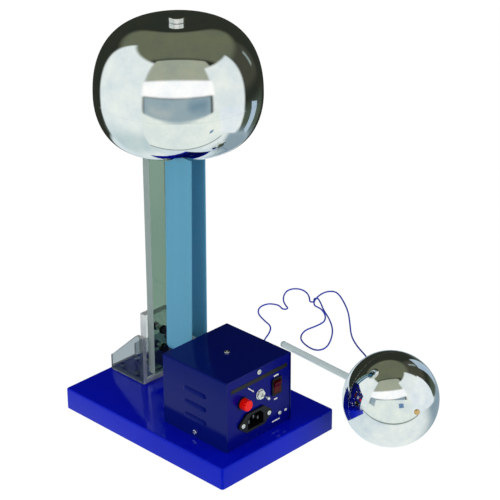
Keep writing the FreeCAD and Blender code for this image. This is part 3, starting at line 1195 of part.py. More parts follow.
# ---------------------------------------------------------------- combs
def comb_plate(middle_x, edge_z, point_z):
    """Thin plate with a row of teeth that point at the belt."""
    y0 = BELT_CENTRE_Y - COMB_LENGTH / 2
    pitch = COMB_LENGTH / COMB_TEETH
    root_z = point_z + math.copysign(COMB_TOOTH_DEPTH, edge_z - point_z)
    x = middle_x - COMB_THICKNESS / 2
    points = [Vector(x, y0, edge_z), Vector(x, y0, root_z)]
    for tooth in range(COMB_TEETH):
        start = y0 + tooth * pitch
        points.append(Vector(x, start + pitch / 2, point_z))
        points.append(Vector(x, start + pitch, root_z))
    points.append(Vector(x, y0 + COMB_LENGTH, edge_z))
    return prism(points, X_AXIS * COMB_THICKNESS)


lower_point_z = drive_z - LOWER_ROLLER_RADIUS - BELT_GAP - BELT_THICKNESS - COMB_POINT_GAP
upper_point_z = upper_roller_z + UPPER_ROLLER_RADIUS + BELT_GAP + BELT_THICKNESS + COMB_POINT_GAP
lower_comb_bottom_z = BASE_TOP_Z + LOWER_COMB_HEIGHT
comb_post_top_z = BASE_TOP_Z + COMB_POST_HEIGHT


def comb_rivets():
    """Two rivets that hold the lower comb to its post."""
    length = COMB_THICKNESS + COMB_POST_SHEET
    return [rod(COMB_RIVET_RADIUS, Vector(DRIVE_X - COMB_THICKNESS / 2, comb_post_y + side * COMB_RIVET_OFFSET,
                                          comb_post_top_z - COMB_RIVET_DROP), X_AXIS, length)
            for side in (-1, 1)]


def make_lower_comb_post():
    """Angle that stands on the base and holds the lower comb, with its rivets."""
    x0 = DRIVE_X + COMB_THICKNESS / 2
    half = COMB_POST_WIDTH / 2
    wall = box(x0, x0 + COMB_POST_SHEET, comb_post_y - half, comb_post_y + half, BASE_TOP_Z, comb_post_top_z)
    foot = box(x0, x0 + COMB_POST_SHEET + COMB_POST_FOOT, comb_post_y - half, comb_post_y + half,
               BASE_TOP_Z, BASE_TOP_Z + COMB_POST_SHEET)
    post = fuse_all([wall, foot] + comb_rivets())
    hole = drill(FOOT_SCREW_RADIUS, Vector(comb_foot_x, comb_post_y, BASE_TOP_Z), Z_AXIS, COMB_POST_SHEET)
    return post.cut(hole)


def make_lower_comb():
    """Spray comb under the lower roller."""
    return cut_all(comb_plate(DRIVE_X, lower_comb_bottom_z, lower_point_z), comb_rivets())


# ---------------------------------------------------------------- column
def make_foot_wall():
    """Upright end wall of the clear foot."""
    half = FOOT_WIDTH / 2 - FOOT_PLATE
    wall = box(-half, half, UPRIGHT_BACK_Y, wall_back_y, foot_floor_z, foot_floor_z + WALL_HEIGHT)
    holes = [drill(UPRIGHT_BOLT_RADIUS, Vector(0, UPRIGHT_BACK_Y, z), Y_AXIS, WALL_THICKNESS) for z in bolt_zs]
    return cut_all(wall, holes)


def make_foot_gussets():
    """Two sloping side plates of the clear foot."""
    top = BASE_TOP_Z + GUSSET_HEIGHT
    end_top = BASE_TOP_Z + GUSSET_END_HEIGHT
    outline = [(UPRIGHT_BACK_Y, BASE_TOP_Z), (foot_back_y, BASE_TOP_Z),
               (foot_back_y, end_top - GUSSET_CHAMFER[1]), (foot_back_y - GUSSET_CHAMFER[0], end_top),
               (wall_back_y + GUSSET_SHOULDER, top), (UPRIGHT_BACK_Y, top)]
    plates = []
    for side in (-1, 1):
        x0 = -FOOT_WIDTH / 2 if side < 0 else FOOT_WIDTH / 2 - FOOT_PLATE
        plate = prism([Vector(x0, y, z) for y, z in outline], X_AXIS * FOOT_PLATE)
        corners = edges_along(plate, X_AXIS, lambda c: c.z > BASE_TOP_Z + GUSSET_ROUND
                              and c.y > UPRIGHT_BACK_Y + GUSSET_ROUND)
        plates.append(plate.makeFillet(GUSSET_ROUND, corners))
    return group(plates)


def make_foot_floor():
    """Floor plate of the clear foot, screwed to the base."""
    half = FOOT_WIDTH / 2 - FOOT_PLATE
    floor = box(-half, half, UPRIGHT_BACK_Y, foot_back_y, BASE_TOP_Z, foot_floor_z)
    holes = [drill(FOOT_SCREW_RADIUS, Vector(x, y, BASE_TOP_Z), Z_AXIS, FOOT_PLATE) for x, y in foot_places()]
    return cut_all(floor, holes)


def make_foot_screws():
    """Screws of the foot and of the comb post, all into the base."""
    solids = [screw(FOOT_SCREW_HEAD_RADIUS, FOOT_SCREW_HEAD_HEIGHT, FOOT_SCREW_RADIUS, FOOT_SCREW_LENGTH,
                    Vector(x, y, foot_floor_z), Z_AXIS * -1) for x, y in foot_places()]
    solids.append(screw(FOOT_SCREW_HEAD_RADIUS, FOOT_SCREW_HEAD_HEIGHT, FOOT_SCREW_RADIUS,
                        COMB_POST_SHEET + BASE_WALL + COMB_SCREW_END,
                        Vector(comb_foot_x, comb_post_y, BASE_TOP_Z + COMB_POST_SHEET), Z_AXIS * -1))
    return group(solids)


def arm_screw_places():
    """Screws that hold the dome arm on the upright."""
    top = upright_top_z - ARM_LEG_HEIGHT / 2
    return [Vector(0, upright_front_y, top + side * ARM_SCREW_PITCH / 2) for side in (-1, 1)]


def make_upright():
    """Clear acrylic upright with bolt holes and a slot for tightening the belt."""
    bar = box(-UPRIGHT_WIDTH / 2, UPRIGHT_WIDTH / 2, upright_front_y, UPRIGHT_BACK_Y,
              upright_bottom_z, upright_top_z)
    thickness = UPRIGHT_THICKNESS
    tools = [drill(UPRIGHT_BOLT_RADIUS, Vector(0, upright_front_y, z), Y_AXIS, thickness) for z in bolt_zs]
    tools += [drill(ARM_SCREW_RADIUS, place, Y_AXIS, thickness) for place in arm_screw_places()]
    half = AXLE_SLOT_TRAVEL / 2
    tools += [drill(AXLE_RADIUS, Vector(0, upright_front_y, upper_roller_z + dz), Y_AXIS, thickness)
              for dz in (-half, half)]
    tools.append(box(-AXLE_RADIUS, AXLE_RADIUS, upright_front_y - OVERCUT, UPRIGHT_BACK_Y + OVERCUT,
                     upper_roller_z - half, upper_roller_z + half))
    return cut_all(bar, tools)


def make_upright_bolts():
    """Two dark bolts with washers and nuts through the upright and the wall."""
    solids = []
    for z in bolt_zs:
        head_y = upright_front_y - WASHER_THICKNESS - BOLT_HEAD_HEIGHT
        washer_front = tube(WASHER_RADIUS, UPRIGHT_BOLT_RADIUS, Vector(0, upright_front_y - WASHER_THICKNESS, z),
                            Y_AXIS, WASHER_THICKNESS)
        head = hexagon(BOLT_HEAD_FLATS, Vector(0, head_y, z), Y_AXIS, BOLT_HEAD_HEIGHT)
        shank_length = wall_back_y + BOLT_NUT_HEIGHT + UPRIGHT_BOLT_END - head_y
        bolt = fuse_all([head, rod(UPRIGHT_BOLT_RADIUS, Vector(0, head_y, z), Y_AXIS, shank_length)])
        solids += [washer_front, bolt, nut(BOLT_HEAD_FLATS, UPRIGHT_BOLT_RADIUS, Vector(0, wall_back_y, z),
                                           Y_AXIS, BOLT_NUT_HEIGHT)]
    return group(solids)


# ---------------------------------------------------------------- head inside the dome
arm_front_y = upright_front_y - ARM_SHEET
arm_under_z = upright_top_z - ARM_SHEET
stud_bottom_z = arm_under_z - STUD_NUT_HEIGHT - THREAD_END


def make_dome_arm():
    """Bent bar from the upright's top to the dome's axis."""
    half = ARM_WIDTH / 2
    leg = box(-half, half, arm_front_y, upright_front_y, upright_top_z - ARM_LEG_HEIGHT, upright_top_z)
    shelf = box(-half, half, DOME_CENTRE_Y - ARM_REACH, upright_front_y, arm_under_z, upright_top_z)
    holes = [drill(ARM_SCREW_RADIUS, place - Y_AXIS * ARM_SHEET, Y_AXIS, ARM_SHEET)
             for place in arm_screw_places()]
    holes.append(drill(STUD_RADIUS, Vector(0, DOME_CENTRE_Y, arm_under_z), Z_AXIS, ARM_SHEET))
    return cut_all(fuse_all([leg, shelf]), holes)


def make_upper_axle():
    """Fixed axle of the upper roller, shouldered against the upright."""
    front_y = roller_front_y - ROLLER_END_GAP - AXLE_NUT_HEIGHT - THREAD_END
    spacer_y = roller_back_y + ROLLER_END_GAP
    thin = rod(AXLE_RADIUS, Vector(0, front_y, upper_roller_z), Y_AXIS,
               UPRIGHT_BACK_Y + AXLE_NUT_HEIGHT + THREAD_END - front_y)
    thick = rod(AXLE_SPACER_RADIUS, Vector(0, spacer_y, upper_roller_z), Y_AXIS, upright_front_y - spacer_y)
    return fuse_all([thin, thick])


def make_upper_fixings():
    """Nuts of the upper axle and the two screws and nuts of the dome arm."""
    solids = []
    for y in (roller_front_y - ROLLER_END_GAP - AXLE_NUT_HEIGHT, UPRIGHT_BACK_Y):
        solids.append(nut(AXLE_NUT_FLATS, AXLE_RADIUS, Vector(0, y, upper_roller_z), Y_AXIS, AXLE_NUT_HEIGHT))
    length = ARM_SHEET + UPRIGHT_THICKNESS + ARM_NUT_HEIGHT + THREAD_END
    for place in arm_screw_places():
        seat = place - Y_AXIS * ARM_SHEET
        solids.append(screw(FOOT_SCREW_HEAD_RADIUS, FOOT_SCREW_HEAD_HEIGHT, ARM_SCREW_RADIUS, length, seat, Y_AXIS))
        solids.append(nut(ARM_NUT_FLATS, ARM_SCREW_RADIUS, Vector(0, UPRIGHT_BACK_Y, place.z), Y_AXIS,
                          ARM_NUT_HEIGHT))
    return group(solids)


def make_upper_roller():
    """Idler roller that turns on the upper axle."""
    return crowned_roller(UPPER_ROLLER_RADIUS, 0, upper_roller_z, AXLE_RADIUS + FIT_GAP)


def make_upper_comb():
    """Collector comb that hangs from the arm over the upper roller, notched for the stud's nut."""
    comb = comb_plate(0, arm_under_z, upper_point_z)
    half = STUD_NUT_FLATS / math.sqrt(3) + COMB_NOTCH_GAP
    notch = box(-COMB_THICKNESS, COMB_THICKNESS, DOME_CENTRE_Y - half, DOME_CENTRE_Y + half,
                stud_bottom_z - COMB_NOTCH_GAP, arm_under_z + OVERCUT)
    return comb.cut(notch)


def make_dome_stud():
    """Threaded stud with the shoulder that the dome's crown rests on."""
    shoulder = rod(STUD_SHOULDER_RADIUS, Vector(0, DOME_CENTRE_Y, upright_top_z), Z_AXIS, STUD_SHOULDER_HEIGHT)
    lock = hexagon(STUD_NUT_FLATS, Vector(0, DOME_CENTRE_Y, arm_under_z - STUD_NUT_HEIGHT), Z_AXIS,
                   STUD_NUT_HEIGHT)
    thread = rod(STUD_RADIUS, Vector(0, DOME_CENTRE_Y, stud_bottom_z), Z_AXIS,
                 dome_top_z + KNOB_BORE_DEPTH - STUD_TIP_GAP - stud_bottom_z)
    return fuse_all([shoulder, lock, thread])


# ---------------------------------------------------------------- dome
def dome_arc(flat_radius, flat_z, power, wall):
    """Smooth quarter from the dome's equator to one of its flats, moved in by a wall."""
    rise = flat_z - dome_equator_z
    rise -= math.copysign(wall, rise)
    reach = DOME_RADIUS - wall - flat_radius
    points = []
    for step in range(DOME_ARC_STEPS + 1):
        angle = math.pi / 2 * step / DOME_ARC_STEPS
        points.append(Vector(flat_radius + reach * math.cos(angle) ** (2 / power), 0,
                             dome_equator_z + rise * math.sin(angle) ** (2 / power)))
    points[-1] = Vector(flat_radius, 0, dome_equator_z + rise)
    curve = Part.BSplineCurve()
    curve.interpolate(Points=points, InitialTangent=Vector(0, 0, math.copysign(1, rise)),
                      FinalTangent=Vector(-1, 0, 0))
    return curve.toShape()


def dome_shell(flat_radius, flat_z, power, rim_radius):
    """Half of the dome: a flat with a hole in it, and a rounded wall to the equator."""
    outer = dome_arc(flat_radius, flat_z, power, 0)
    inner = dome_arc(flat_radius, flat_z, power, DOME_WALL)
    inner_z = flat_z - math.copysign(DOME_WALL, flat_z - dome_equator_z)
    edges = [outer, inner,
             Part.makeLine(Vector(DOME_RADIUS, 0, dome_equator_z),
                           Vector(DOME_RADIUS - DOME_WALL, 0, dome_equator_z)),
             Part.makeLine(Vector(flat_radius, 0, inner_z), Vector(rim_radius, 0, inner_z)),
             Part.makeLine(Vector(rim_radius, 0, inner_z), Vector(rim_radius, 0, flat_z)),
             Part.makeLine(Vector(rim_radius, 0, flat_z), Vector(flat_radius, 0, flat_z))]
    wire = Part.Wire(Part.__sortEdges__(edges))
    shell = Part.Face(wire).revolve(Vector(0, 0, 0), Z_AXIS, 360)
    shell.translate(dome_axis)
    return shell


def make_dome_upper_shell():
    """Upper spun half of the dome with the hole for the stud."""
    return dome_shell(DOME_CROWN_RADIUS, dome_top_z, DOME_CROWN_POWER, STUD_RADIUS + STUD_HOLE_GAP)


def make_dome_lower_shell():
    """Lower spun half with a turned-in neck and a lap ring inside the joint."""
    shell = dome_shell(DOME_BELLY_RADIUS, dome_bottom_z, DOME_BELLY_POWER, DOME_NECK_RADIUS)
    neck = tube(DOME_NECK_RADIUS + DOME_WALL, DOME_NECK_RADIUS, Vector(0, DOME_CENTRE_Y, dome_bottom_z),
                Z_AXIS, DOME_NECK_LIP)
    outside = DOME_RADIUS - DOME_WALL
    inside = outside - DOME_LAP_THICKNESS
    lap_bottom = dome_equator_z - DOME_LAP_BELOW
    lap_top = dome_equator_z + DOME_LAP_ABOVE
    buried = turned([(inside, lap_bottom), (outside + DOME_LAP_ROOT, lap_bottom),
                     (outside + DOME_LAP_ROOT, dome_equator_z), (inside, dome_equator_z)], dome_axis)
    free_edge = outside - 2 * FIT_GAP
    free = turned([(inside, dome_equator_z), (free_edge, dome_equator_z),
                   (free_edge, lap_top), (inside, lap_top)], dome_axis)
    return fuse_all([shell, neck, buried, free])


def make_dome_knob():
    """Low round thumb nut, screwed on the stud over the dome."""
    bore = STUD_RADIUS + FIT_GAP
    profile = [(bore, 0), (KNOB_RADIUS - KNOB_EDGE, 0), (KNOB_RADIUS, KNOB_EDGE),
               (KNOB_RADIUS, KNOB_HEIGHT - KNOB_EDGE), (KNOB_RADIUS - KNOB_EDGE, KNOB_HEIGHT),
               (0, KNOB_HEIGHT), (0, KNOB_BORE_DEPTH), (bore, KNOB_BORE_DEPTH)]
    return turned(profile, Vector(0, DOME_CENTRE_Y, dome_top_z + FIT_GAP))


# ---------------------------------------------------------------- discharge wand
def along(distance):
    """Point on the wand's axis, measured from the middle of the ball."""
    return ball_centre + rod_axis * distance


def ball_arc(radius):
    """Arc of the ball's profile from its seam to the hole for the bolt."""
    tip = math.asin(BALL_BOLT_RADIUS / radius)
    points = [Vector(radius * math.sin(angle), 0, radius * math.cos(angle))
              for angle in (math.pi / 2, (math.pi / 2 + tip) / 2, tip)]
    return Part.Arc(*points).toShape(), points[0], points[-1]


def ball_shell(direction):
    """Half of the hollow ball, on one side of its seam."""
    outer, outer_seam, outer_tip = ball_arc(BALL_RADIUS)
    inner, inner_seam, inner_tip = ball_arc(BALL_RADIUS - BALL_WALL)
    edges = [outer, Part.makeLine(outer_tip, inner_tip), inner, Part.makeLine(inner_seam, outer_seam)]
    wire = Part.Wire(Part.__sortEdges__(edges))
    shell = Part.Face(wire).revolve(Vector(0, 0, 0), Z_AXIS, 360)
    shell.Placement = FreeCAD.Placement(ball_centre, FreeCAD.Rotation(Z_AXIS, direction))
    return shell


def make_ball_front_shell():
    """Half of the ball away from the rod."""
    return ball_shell(rod_axis * -1)


def make_ball_rear_shell():
    """Half of the ball next to the rod."""
    return ball_shell(rod_axis)


rod_start = BALL_RADIUS + ROD_START_GAP
rod_end = BALL_RADIUS + ROD_LENGTH


def make_wand_rod():
    """Clear acrylic handle with a tapped end and softly rounded tip."""
    handle = rod(ROD_RADIUS, along(rod_start), rod_axis, rod_end - rod_start)
    tip = [e for e in handle.Edges if isinstance(e.Curve, Part.Circle)
           and (e.Curve.Center - along(rod_end)).Length < ROD_EDGE]
    handle = handle.makeFillet(ROD_EDGE, tip)
    return handle.cut(rod(BALL_BOLT_RADIUS, along(rod_start - OVERCUT), rod_axis, BALL_BOLT_GRIP + OVERCUT))


collar_terminal_at = BALL_RADIUS + COLLAR_LENGTH * COLLAR_TERMINAL_SHARE


def make_wand_collar():
    """Metal ferrule between ball and rod, with the soldered terminal of the lead."""
    start = BALL_RADIUS - COLLAR_SINK
    body = rod(COLLAR_RADIUS, along(start), rod_axis, COLLAR_LENGTH + COLLAR_SINK)
    terminal = rod(COLLAR_TERMINAL_RADIUS, along(collar_terminal_at), side_axis, COLLAR_TERMINAL_LENGTH)
    tools = [Part.makeSphere(BALL_RADIUS, ball_centre),
             rod(ROD_RADIUS, along(rod_start), rod_axis, ROD_LENGTH),
             rod(BALL_BOLT_RADIUS, along(start - OVERCUT), rod_axis, COLLAR_LENGTH)]
    return cut_all(fuse_all([body, terminal]), tools)


def make_wand_bolt():
    """Brass screw right through the ball into the rod."""
    head = rod(BALL_BOLT_HEAD_RADIUS, along(-BALL_RADIUS - BALL_BOLT_HEAD_HEIGHT), rod_axis,
               BALL_BOLT_HEAD_HEIGHT + BALL_BOLT_HEAD_SINK)
    rim = [e for e in head.Edges if isinstance(e.Curve, Part.Circle)
           and (e.Curve.Center - ball_centre).Length > BALL_RADIUS + BALL_BOLT_HEAD_HEIGHT / 2]
    head = head.makeFillet(BALL_BOLT_HEAD_HEIGHT * BALL_BOLT_HEAD_ROUND, rim)
    head = head.cut(Part.makeSphere(BALL_RADIUS, ball_centre))
    shank_start = -BALL_RADIUS - BALL_BOLT_OVERLAP
    shank = rod(BALL_BOLT_RADIUS, along(shank_start), rod_axis, rod_start + BALL_BOLT_GRIP - shank_start)
    return fuse_all([head, shank])


# ---------------------------------------------------------------- lead
def make_base_socket():
    """Insulated 4 mm socket in the side of the base."""
    seat = Vector(base_right, SOCKET_Y, SOCKET_Z)
    inner_x = base_right - BASE_WALL
    flange = rod(SOCKET_FLANGE_RADIUS, seat, X_AXIS, SOCKET_FLANGE_THICKNESS)
    body = rod(SOCKET_BODY_RADIUS, seat - X_AXIS * SOCKET_BODY_LENGTH, X_AXIS, SOCKET_BODY_LENGTH)
    ring = hexagon(SOCKET_NUT_FLATS, Vector(inner_x - SOCKET_NUT_THICKNESS, SOCKET_Y, SOCKET_Z), X_AXIS,
                   SOCKET_NUT_THICKNESS)
    bore = drill(SOCKET_BORE_RADIUS, seat - X_AXIS * PLUG_PIN_LENGTH, X_AXIS,
                 PLUG_PIN_LENGTH + SOCKET_FLANGE_THICKNESS)
    return fuse_all([flange, body, ring]).cut(bore)


def make_lead_plug():
    """4 mm plug: pin, straight sleeve and a tapered tail for the lead."""
    seat_x = base_right + SOCKET_FLANGE_THICKNESS
    straight = PLUG_SLEEVE_LENGTH * PLUG_STRAIGHT_SHARE
    pin_radius = SOCKET_BORE_RADIUS - 2 * FIT_GAP
    profile = [(0, -PLUG_PIN_LENGTH), (pin_radius, -PLUG_PIN_LENGTH + PLUG_PIN_EDGE),
               (pin_radius, 0), (PLUG_SLEEVE_RADIUS, 0),
               (PLUG_SLEEVE_RADIUS, straight), (PLUG_TAIL_RADIUS, PLUG_SLEEVE_LENGTH),
               (0, PLUG_SLEEVE_LENGTH)]
    return turned(profile, Vector(seat_x, SOCKET_Y, SOCKET_Z), X_AXIS)


def lead_path():
    """Straight runs joined by tangent arcs through the lead's points."""
    lead_end = along(collar_terminal_at) + side_axis * COLLAR_TERMINAL_LENGTH
    last_run = lead_end + side_axis * LEAD_LAST_RUN
    points = [LEAD_START] + [Vector(*point) for point in LEAD_POINTS] + [last_run, lead_end]
    edges = []
    radii = []
    here = points[0]
    for before, corner, after in zip(points, points[1:], points[2:]):
        run_in = corner - before
        run_out = after - corner
        half_turn = run_in.getAngle(run_out) / 2
        shorter = min(run_in.Length, run_out.Length)
        back = LEAD_ARC_SHARE * shorter
        radius = back / math.tan(half_turn)
        radii.append(radius)
        arc_start = corner - Vector(run_in).normalize() * back
        arc_end = corner + Vector(run_out).normalize() * back
        middle_axis = (Vector(run_out).normalize() - Vector(run_in).normalize()).normalize()
        arc_centre = corner + middle_axis * (radius / math.cos(half_turn))
        arc_middle = arc_centre - middle_axis * radius
        edges.append(Part.LineSegment(here, arc_start).toShape())
        edges.append(Part.Arc(arc_start, arc_middle, arc_end).toShape())
        here = arc_end
    edges.append(Part.LineSegment(here, points[-1]).toShape())
    return edges, radii, points


def make_lead_wire():
    """Flexible lead as a round tube along its route."""
    edges, radii, points = lead_path()
    path = Part.Wire(edges)
    start_direction = points[1] - points[0]
    ring = Part.Wire(Part.makeCircle(LEAD_RADIUS, points[0], start_direction))
    lead = path.makePipeShell([ring], True, False)
    ideal = math.pi * LEAD_RADIUS ** 2 * path.Length
    print("lead: length %.1f mm, volume %.1f of %.1f mm3, radii %s"
          % (path.Length, lead.Volume, ideal, " ".join("%.0f" % r for r in radii)))
    return lead


NODES = {
    "base_pan": make_base_pan,
    "base_floor_plate": make_base_floor_plate,
    "base_mat": make_base_mat,
    "base_plate_screws": make_base_plate_screws,
    "box_chassis": make_box_chassis,
    "box_cover": make_box_cover,
    "cover_screws": make_cover_screws,
    "box_mount_screws": make_box_mount_screws,
    "inlet_body": make_inlet_body,
    "inlet_pins": make_inlet_pins,
    "inlet_screws": make_inlet_screws,
    "fuse_holder": make_fuse_holder,
    "fuse_cap": make_fuse_cap,
    "fuse_link": make_fuse_link,
    "toggle_body": make_toggle_body,
    "toggle_nut": make_toggle_nut,
    "toggle_lever": make_toggle_lever,
    "rocker_housing": make_rocker_housing,
    "rocker_button": make_rocker_button,
    "earth_screw": make_earth_screw,
    "transformer_core": make_transformer_core,
    "transformer_coil": make_transformer_coil,
    "rectifier_board": make_rectifier_board,
    "board_parts": make_board_parts,
    "motor_case": make_motor_case,
    "motor_end_cap": make_motor_end_cap,
    "motor_bracket": make_motor_bracket,
    "motor_screws": make_motor_screws,
    "motor_rotor": make_motor_rotor,
    "shaft_coupler": make_shaft_coupler,
    "rear_bearing": make_rear_bearing,
    "roller_shaft": make_roller_shaft,
    "lower_roller": make_lower_roller,
    "shaft_nut": make_shaft_nut,
    "charge_belt": make_charge_belt,
    "lower_comb_post": make_lower_comb_post,
    "lower_comb": make_lower_comb,
    "foot_wall": make_foot_wall,
    "foot_gussets": make_foot_gussets,
    "foot_floor": make_foot_floor,
    "foot_screws": make_foot_screws,
    "upright": make_upright,
    "upright_bolts": make_upright_bolts,
    "dome_arm": make_dome_arm,
    "upper_axle": make_upper_axle,
    "upper_fixings": make_upper_fixings,
    "upper_roller": make_upper_roller,
    "upper_comb": make_upper_comb,
    "dome_stud": make_dome_stud,
    "dome_upper_shell": make_dome_upper_shell,
    "dome_lower_shell": make_dome_lower_shell,
    "dome_knob": make_dome_knob,
    "ball_front_shell": make_ball_front_shell,
    "ball_rear_shell": make_ball_rear_shell,
    "wand_rod": make_wand_rod,
    "wand_collar": make_wand_collar,
    "wand_bolt": make_wand_bolt,
    "base_socket": make_base_socket,
    "lead_plug": make_lead_plug,
    "lead_wire": make_lead_wire,
}

os.makedirs("parts", exist_ok=True)
for node, make in NODES.items():
    shape = make()
    if not shape.isValid():
        print("not valid:", node)
    shape.exportStep("parts/%s.step" % node)
print(len(NODES), "nodes")
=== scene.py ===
"""Van de Graaff generator: enamelled base and control box, rubber belt, clear column,
mirror-bright dome and a discharge wand on a loose lead.

The file is laid out as an add-on and run as a script.  Frame: metres, +Z up, origin on the
table under the middle of the base; the control panel faces -Y and the belt stands behind it.
"""

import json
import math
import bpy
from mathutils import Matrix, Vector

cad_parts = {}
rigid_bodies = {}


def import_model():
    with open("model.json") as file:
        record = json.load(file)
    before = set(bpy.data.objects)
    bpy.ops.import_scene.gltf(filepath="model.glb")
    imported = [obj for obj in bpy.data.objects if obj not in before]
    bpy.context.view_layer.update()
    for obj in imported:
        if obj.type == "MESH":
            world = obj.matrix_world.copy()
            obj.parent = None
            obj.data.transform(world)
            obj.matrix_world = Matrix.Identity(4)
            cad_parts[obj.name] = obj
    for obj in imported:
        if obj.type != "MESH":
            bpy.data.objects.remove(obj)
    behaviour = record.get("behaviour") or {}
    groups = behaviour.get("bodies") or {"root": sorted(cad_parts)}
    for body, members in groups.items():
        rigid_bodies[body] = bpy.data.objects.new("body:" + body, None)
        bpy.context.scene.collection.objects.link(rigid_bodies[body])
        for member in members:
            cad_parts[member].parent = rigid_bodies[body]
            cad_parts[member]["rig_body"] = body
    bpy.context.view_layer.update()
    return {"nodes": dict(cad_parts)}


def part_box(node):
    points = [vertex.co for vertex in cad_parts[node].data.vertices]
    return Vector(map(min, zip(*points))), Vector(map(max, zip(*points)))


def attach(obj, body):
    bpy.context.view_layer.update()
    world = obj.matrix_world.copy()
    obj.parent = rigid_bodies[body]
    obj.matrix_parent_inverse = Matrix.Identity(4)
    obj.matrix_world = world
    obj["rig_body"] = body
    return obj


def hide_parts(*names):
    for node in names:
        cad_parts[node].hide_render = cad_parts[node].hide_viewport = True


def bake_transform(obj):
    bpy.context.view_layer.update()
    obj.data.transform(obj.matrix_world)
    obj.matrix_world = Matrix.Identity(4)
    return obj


bl_info = {
    "name": "Van de Graaff Generator",
    "version": (1, 0, 0),
    "blender": (4, 5, 0),
    "location": "View3D > Sidebar > Generator",
    "description": "Finishes every piece of a belt-driven electrostatic generator",
    "category": "Add Mesh",
}

import bmesh
import bpy
from mathutils import Matrix, Vector

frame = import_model()

MM = 0.001
X_AXIS = Vector((1, 0, 0))
Y_AXIS = Vector((0, 1, 0))
Z_AXIS = Vector((0, 0, 1))


def linear(hex_colour):
    """Linear red, green and blue of an sRGB hex colour."""
    parts = [int(hex_colour[i:i + 2], 16) / 255 for i in (0, 2, 4)]
    return tuple(p / 12.92 if p <= 0.04045 else ((p + 0.055) / 1.055) ** 2.4 for p in parts)


def length(name, description, value_mm):
    """A size that the user can change, given in millimetres."""
    return bpy.props.FloatProperty(name=name, description=description, default=value_mm * MM, unit="LENGTH")


def angle(name, description, degrees):
    """An angle that the user can change, given in degrees."""
    return bpy.props.FloatProperty(name=name, description=description, default=math.radians(degrees),
                                   subtype="ANGLE")


def number(name, description, value, least=0):
    """A plain number that the user can change."""
    return bpy.props.FloatProperty(name=name, description=description, default=value, min=least)


def colour(name, description, hex_colour):
    """A colour that the user can change, given as sRGB hex."""
    return bpy.props.FloatVectorProperty(name=name, description=description, subtype="COLOR",
                                         size=3, min=0, max=1, default=linear(hex_colour))


# ---------------------------------------------------------------- settings
class FinishSettings(bpy.types.PropertyGroup):
    base_blue: colour("Base enamel", "Enamel of the folded base", "020FC6")
    box_navy: colour("Box enamel", "Enamel of the control box's cover", "020F64")
    panel_blue: colour("Panel enamel", "Enamel of the control box's chassis and panel", "020772")
    belt_blue: colour("Belt", "Rubber of the charging belt", "5AA0BE")
    lead_blue: colour("Lead", "Vinyl sleeve of the wand's lead", "2A42D2")
    fuse_red: colour("Fuse cap", "Moulded red of the fuse cap", "FF1405")
    lamp_red: colour("Rocker", "Tinted red of the rocker", "50070D")
    # Painted: this green is the colour of a wall seen through the clear upright, not the acrylic's own
    # colour.
    upright_tint: colour("Upright", "Green of the clear upright", "728F7D")
    foot_tint: colour("Foot", "Faint grey of the clear foot", "97A4AA")
    # Painted shade: this grey stands for the darker surroundings seen through the clear handle.
    rod_tint: colour("Handle", "Clear acrylic of the wand's handle", "AEBCBE")


class SheetSettings(bpy.types.PropertyGroup):
    base_corner: length("Base corner", "Radius of the base's upright corners", 3.0)
    base_edge: length("Base edge", "Radius of the fold round the base's top", 2.2)
    base_wall: length("Base sheet", "Thickness of the base's steel", 1.5)
    post_radius: length("Post", "Radius of the threaded corner posts", 5.0)
    post_inset: length("Post inset", "From the base's sides to the middle of a post", 14.0)
    box_sheet: length("Box sheet", "Thickness of the control box's steel", 1.2)
    louvre_length: length("Louvre length", "Length of one pressed louvre", 35.0)
    louvre_height: length("Louvre height", "Height of one pressed louvre", 4.6)
    louvre_bulge: length("Louvre bulge", "How far a louvre stands out", 2.0)
    louvre_pitch: length("Louvre pitch", "From one louvre to the next", 16.4)
    louvre_first: length("First louvre", "Lowest louvre above the base", 24.5)
    roof_fold: length("Cover fold", "Radius of the folds along the cover's top", 1.8)
    strip_sheet: length("Strip", "Thickness of the dark strip on the panel", 0.3)
    strip_corner: length("Strip corner", "Radius of that strip's corners", 0.8)
    mark_sheet: length("Marks", "Thickness of the printed marks on the panel", 0.08)
    belt_sheet: length("Belt sheet", "Thickness of the belt", 1.0)


class DomeSettings(bpy.types.PropertyGroup):
    wall: length("Dome wall", "Thickness of the spun steel", 1.2)
    equator: length("Equator", "Height of the joint between the halves", 388.0)
    crown_radius: length("Crown", "Radius of the flat on top", 25.3)
    crown_power: number("Crown shape", "2 is an ellipse, more is squarer", 2.3, 1)
    belly_radius: length("Belly", "Radius of the flat underneath", 56.0)
    belly_power: number("Belly shape", "2 is an ellipse, more is squarer", 2.0, 1)
    neck_radius: length("Neck", "Radius of the opening underneath", 52.0)
    neck_lip: length("Neck lip", "Height of the turned-in edge", 6.0)
    stud_hole: length("Stud hole", "Radius of the hole in the crown", 3.3)
    knob_bore: length("Knob bore", "Radius of the thumb nut's thread", 3.05)
    knob_depth: length("Knob depth", "Depth of that thread from below", 4.2)
    knob_edge: length("Knob edge", "Chamfer of the thumb nut", 0.4)
    steps: bpy.props.IntProperty(name="Steps", description="Faces round the dome", default=160, min=16)


class WandSettings(bpy.types.PropertyGroup):
    ball_radius: length("Ball", "Radius of the discharge ball", 53.5)
    ball_wall: length("Ball wall", "Thickness of the ball's steel", 1.0)
    ball_hole: length("Ball hole", "Radius of the hole for the brass screw", 2.0)
    ball_x: length("Ball X", "Place of the ball across the base", 113.5)
    ball_y: length("Ball Y", "Place of the ball along the base", -187.0)
    tip_x: length("Tip X", "Place of the handle's end across the base", 190.6)
    tip_y: length("Tip Y", "Place of the handle's end along the base", 49.9)
    tip_z: length("Tip Z", "Height of the handle's end", 4.0)


class LeadSettings(bpy.types.PropertyGroup):
    diameter: length("Lead diameter", "Over its vinyl sleeve", 2.0)
    run: length("Lead length", "From the plug to the ferrule", 1020.0)


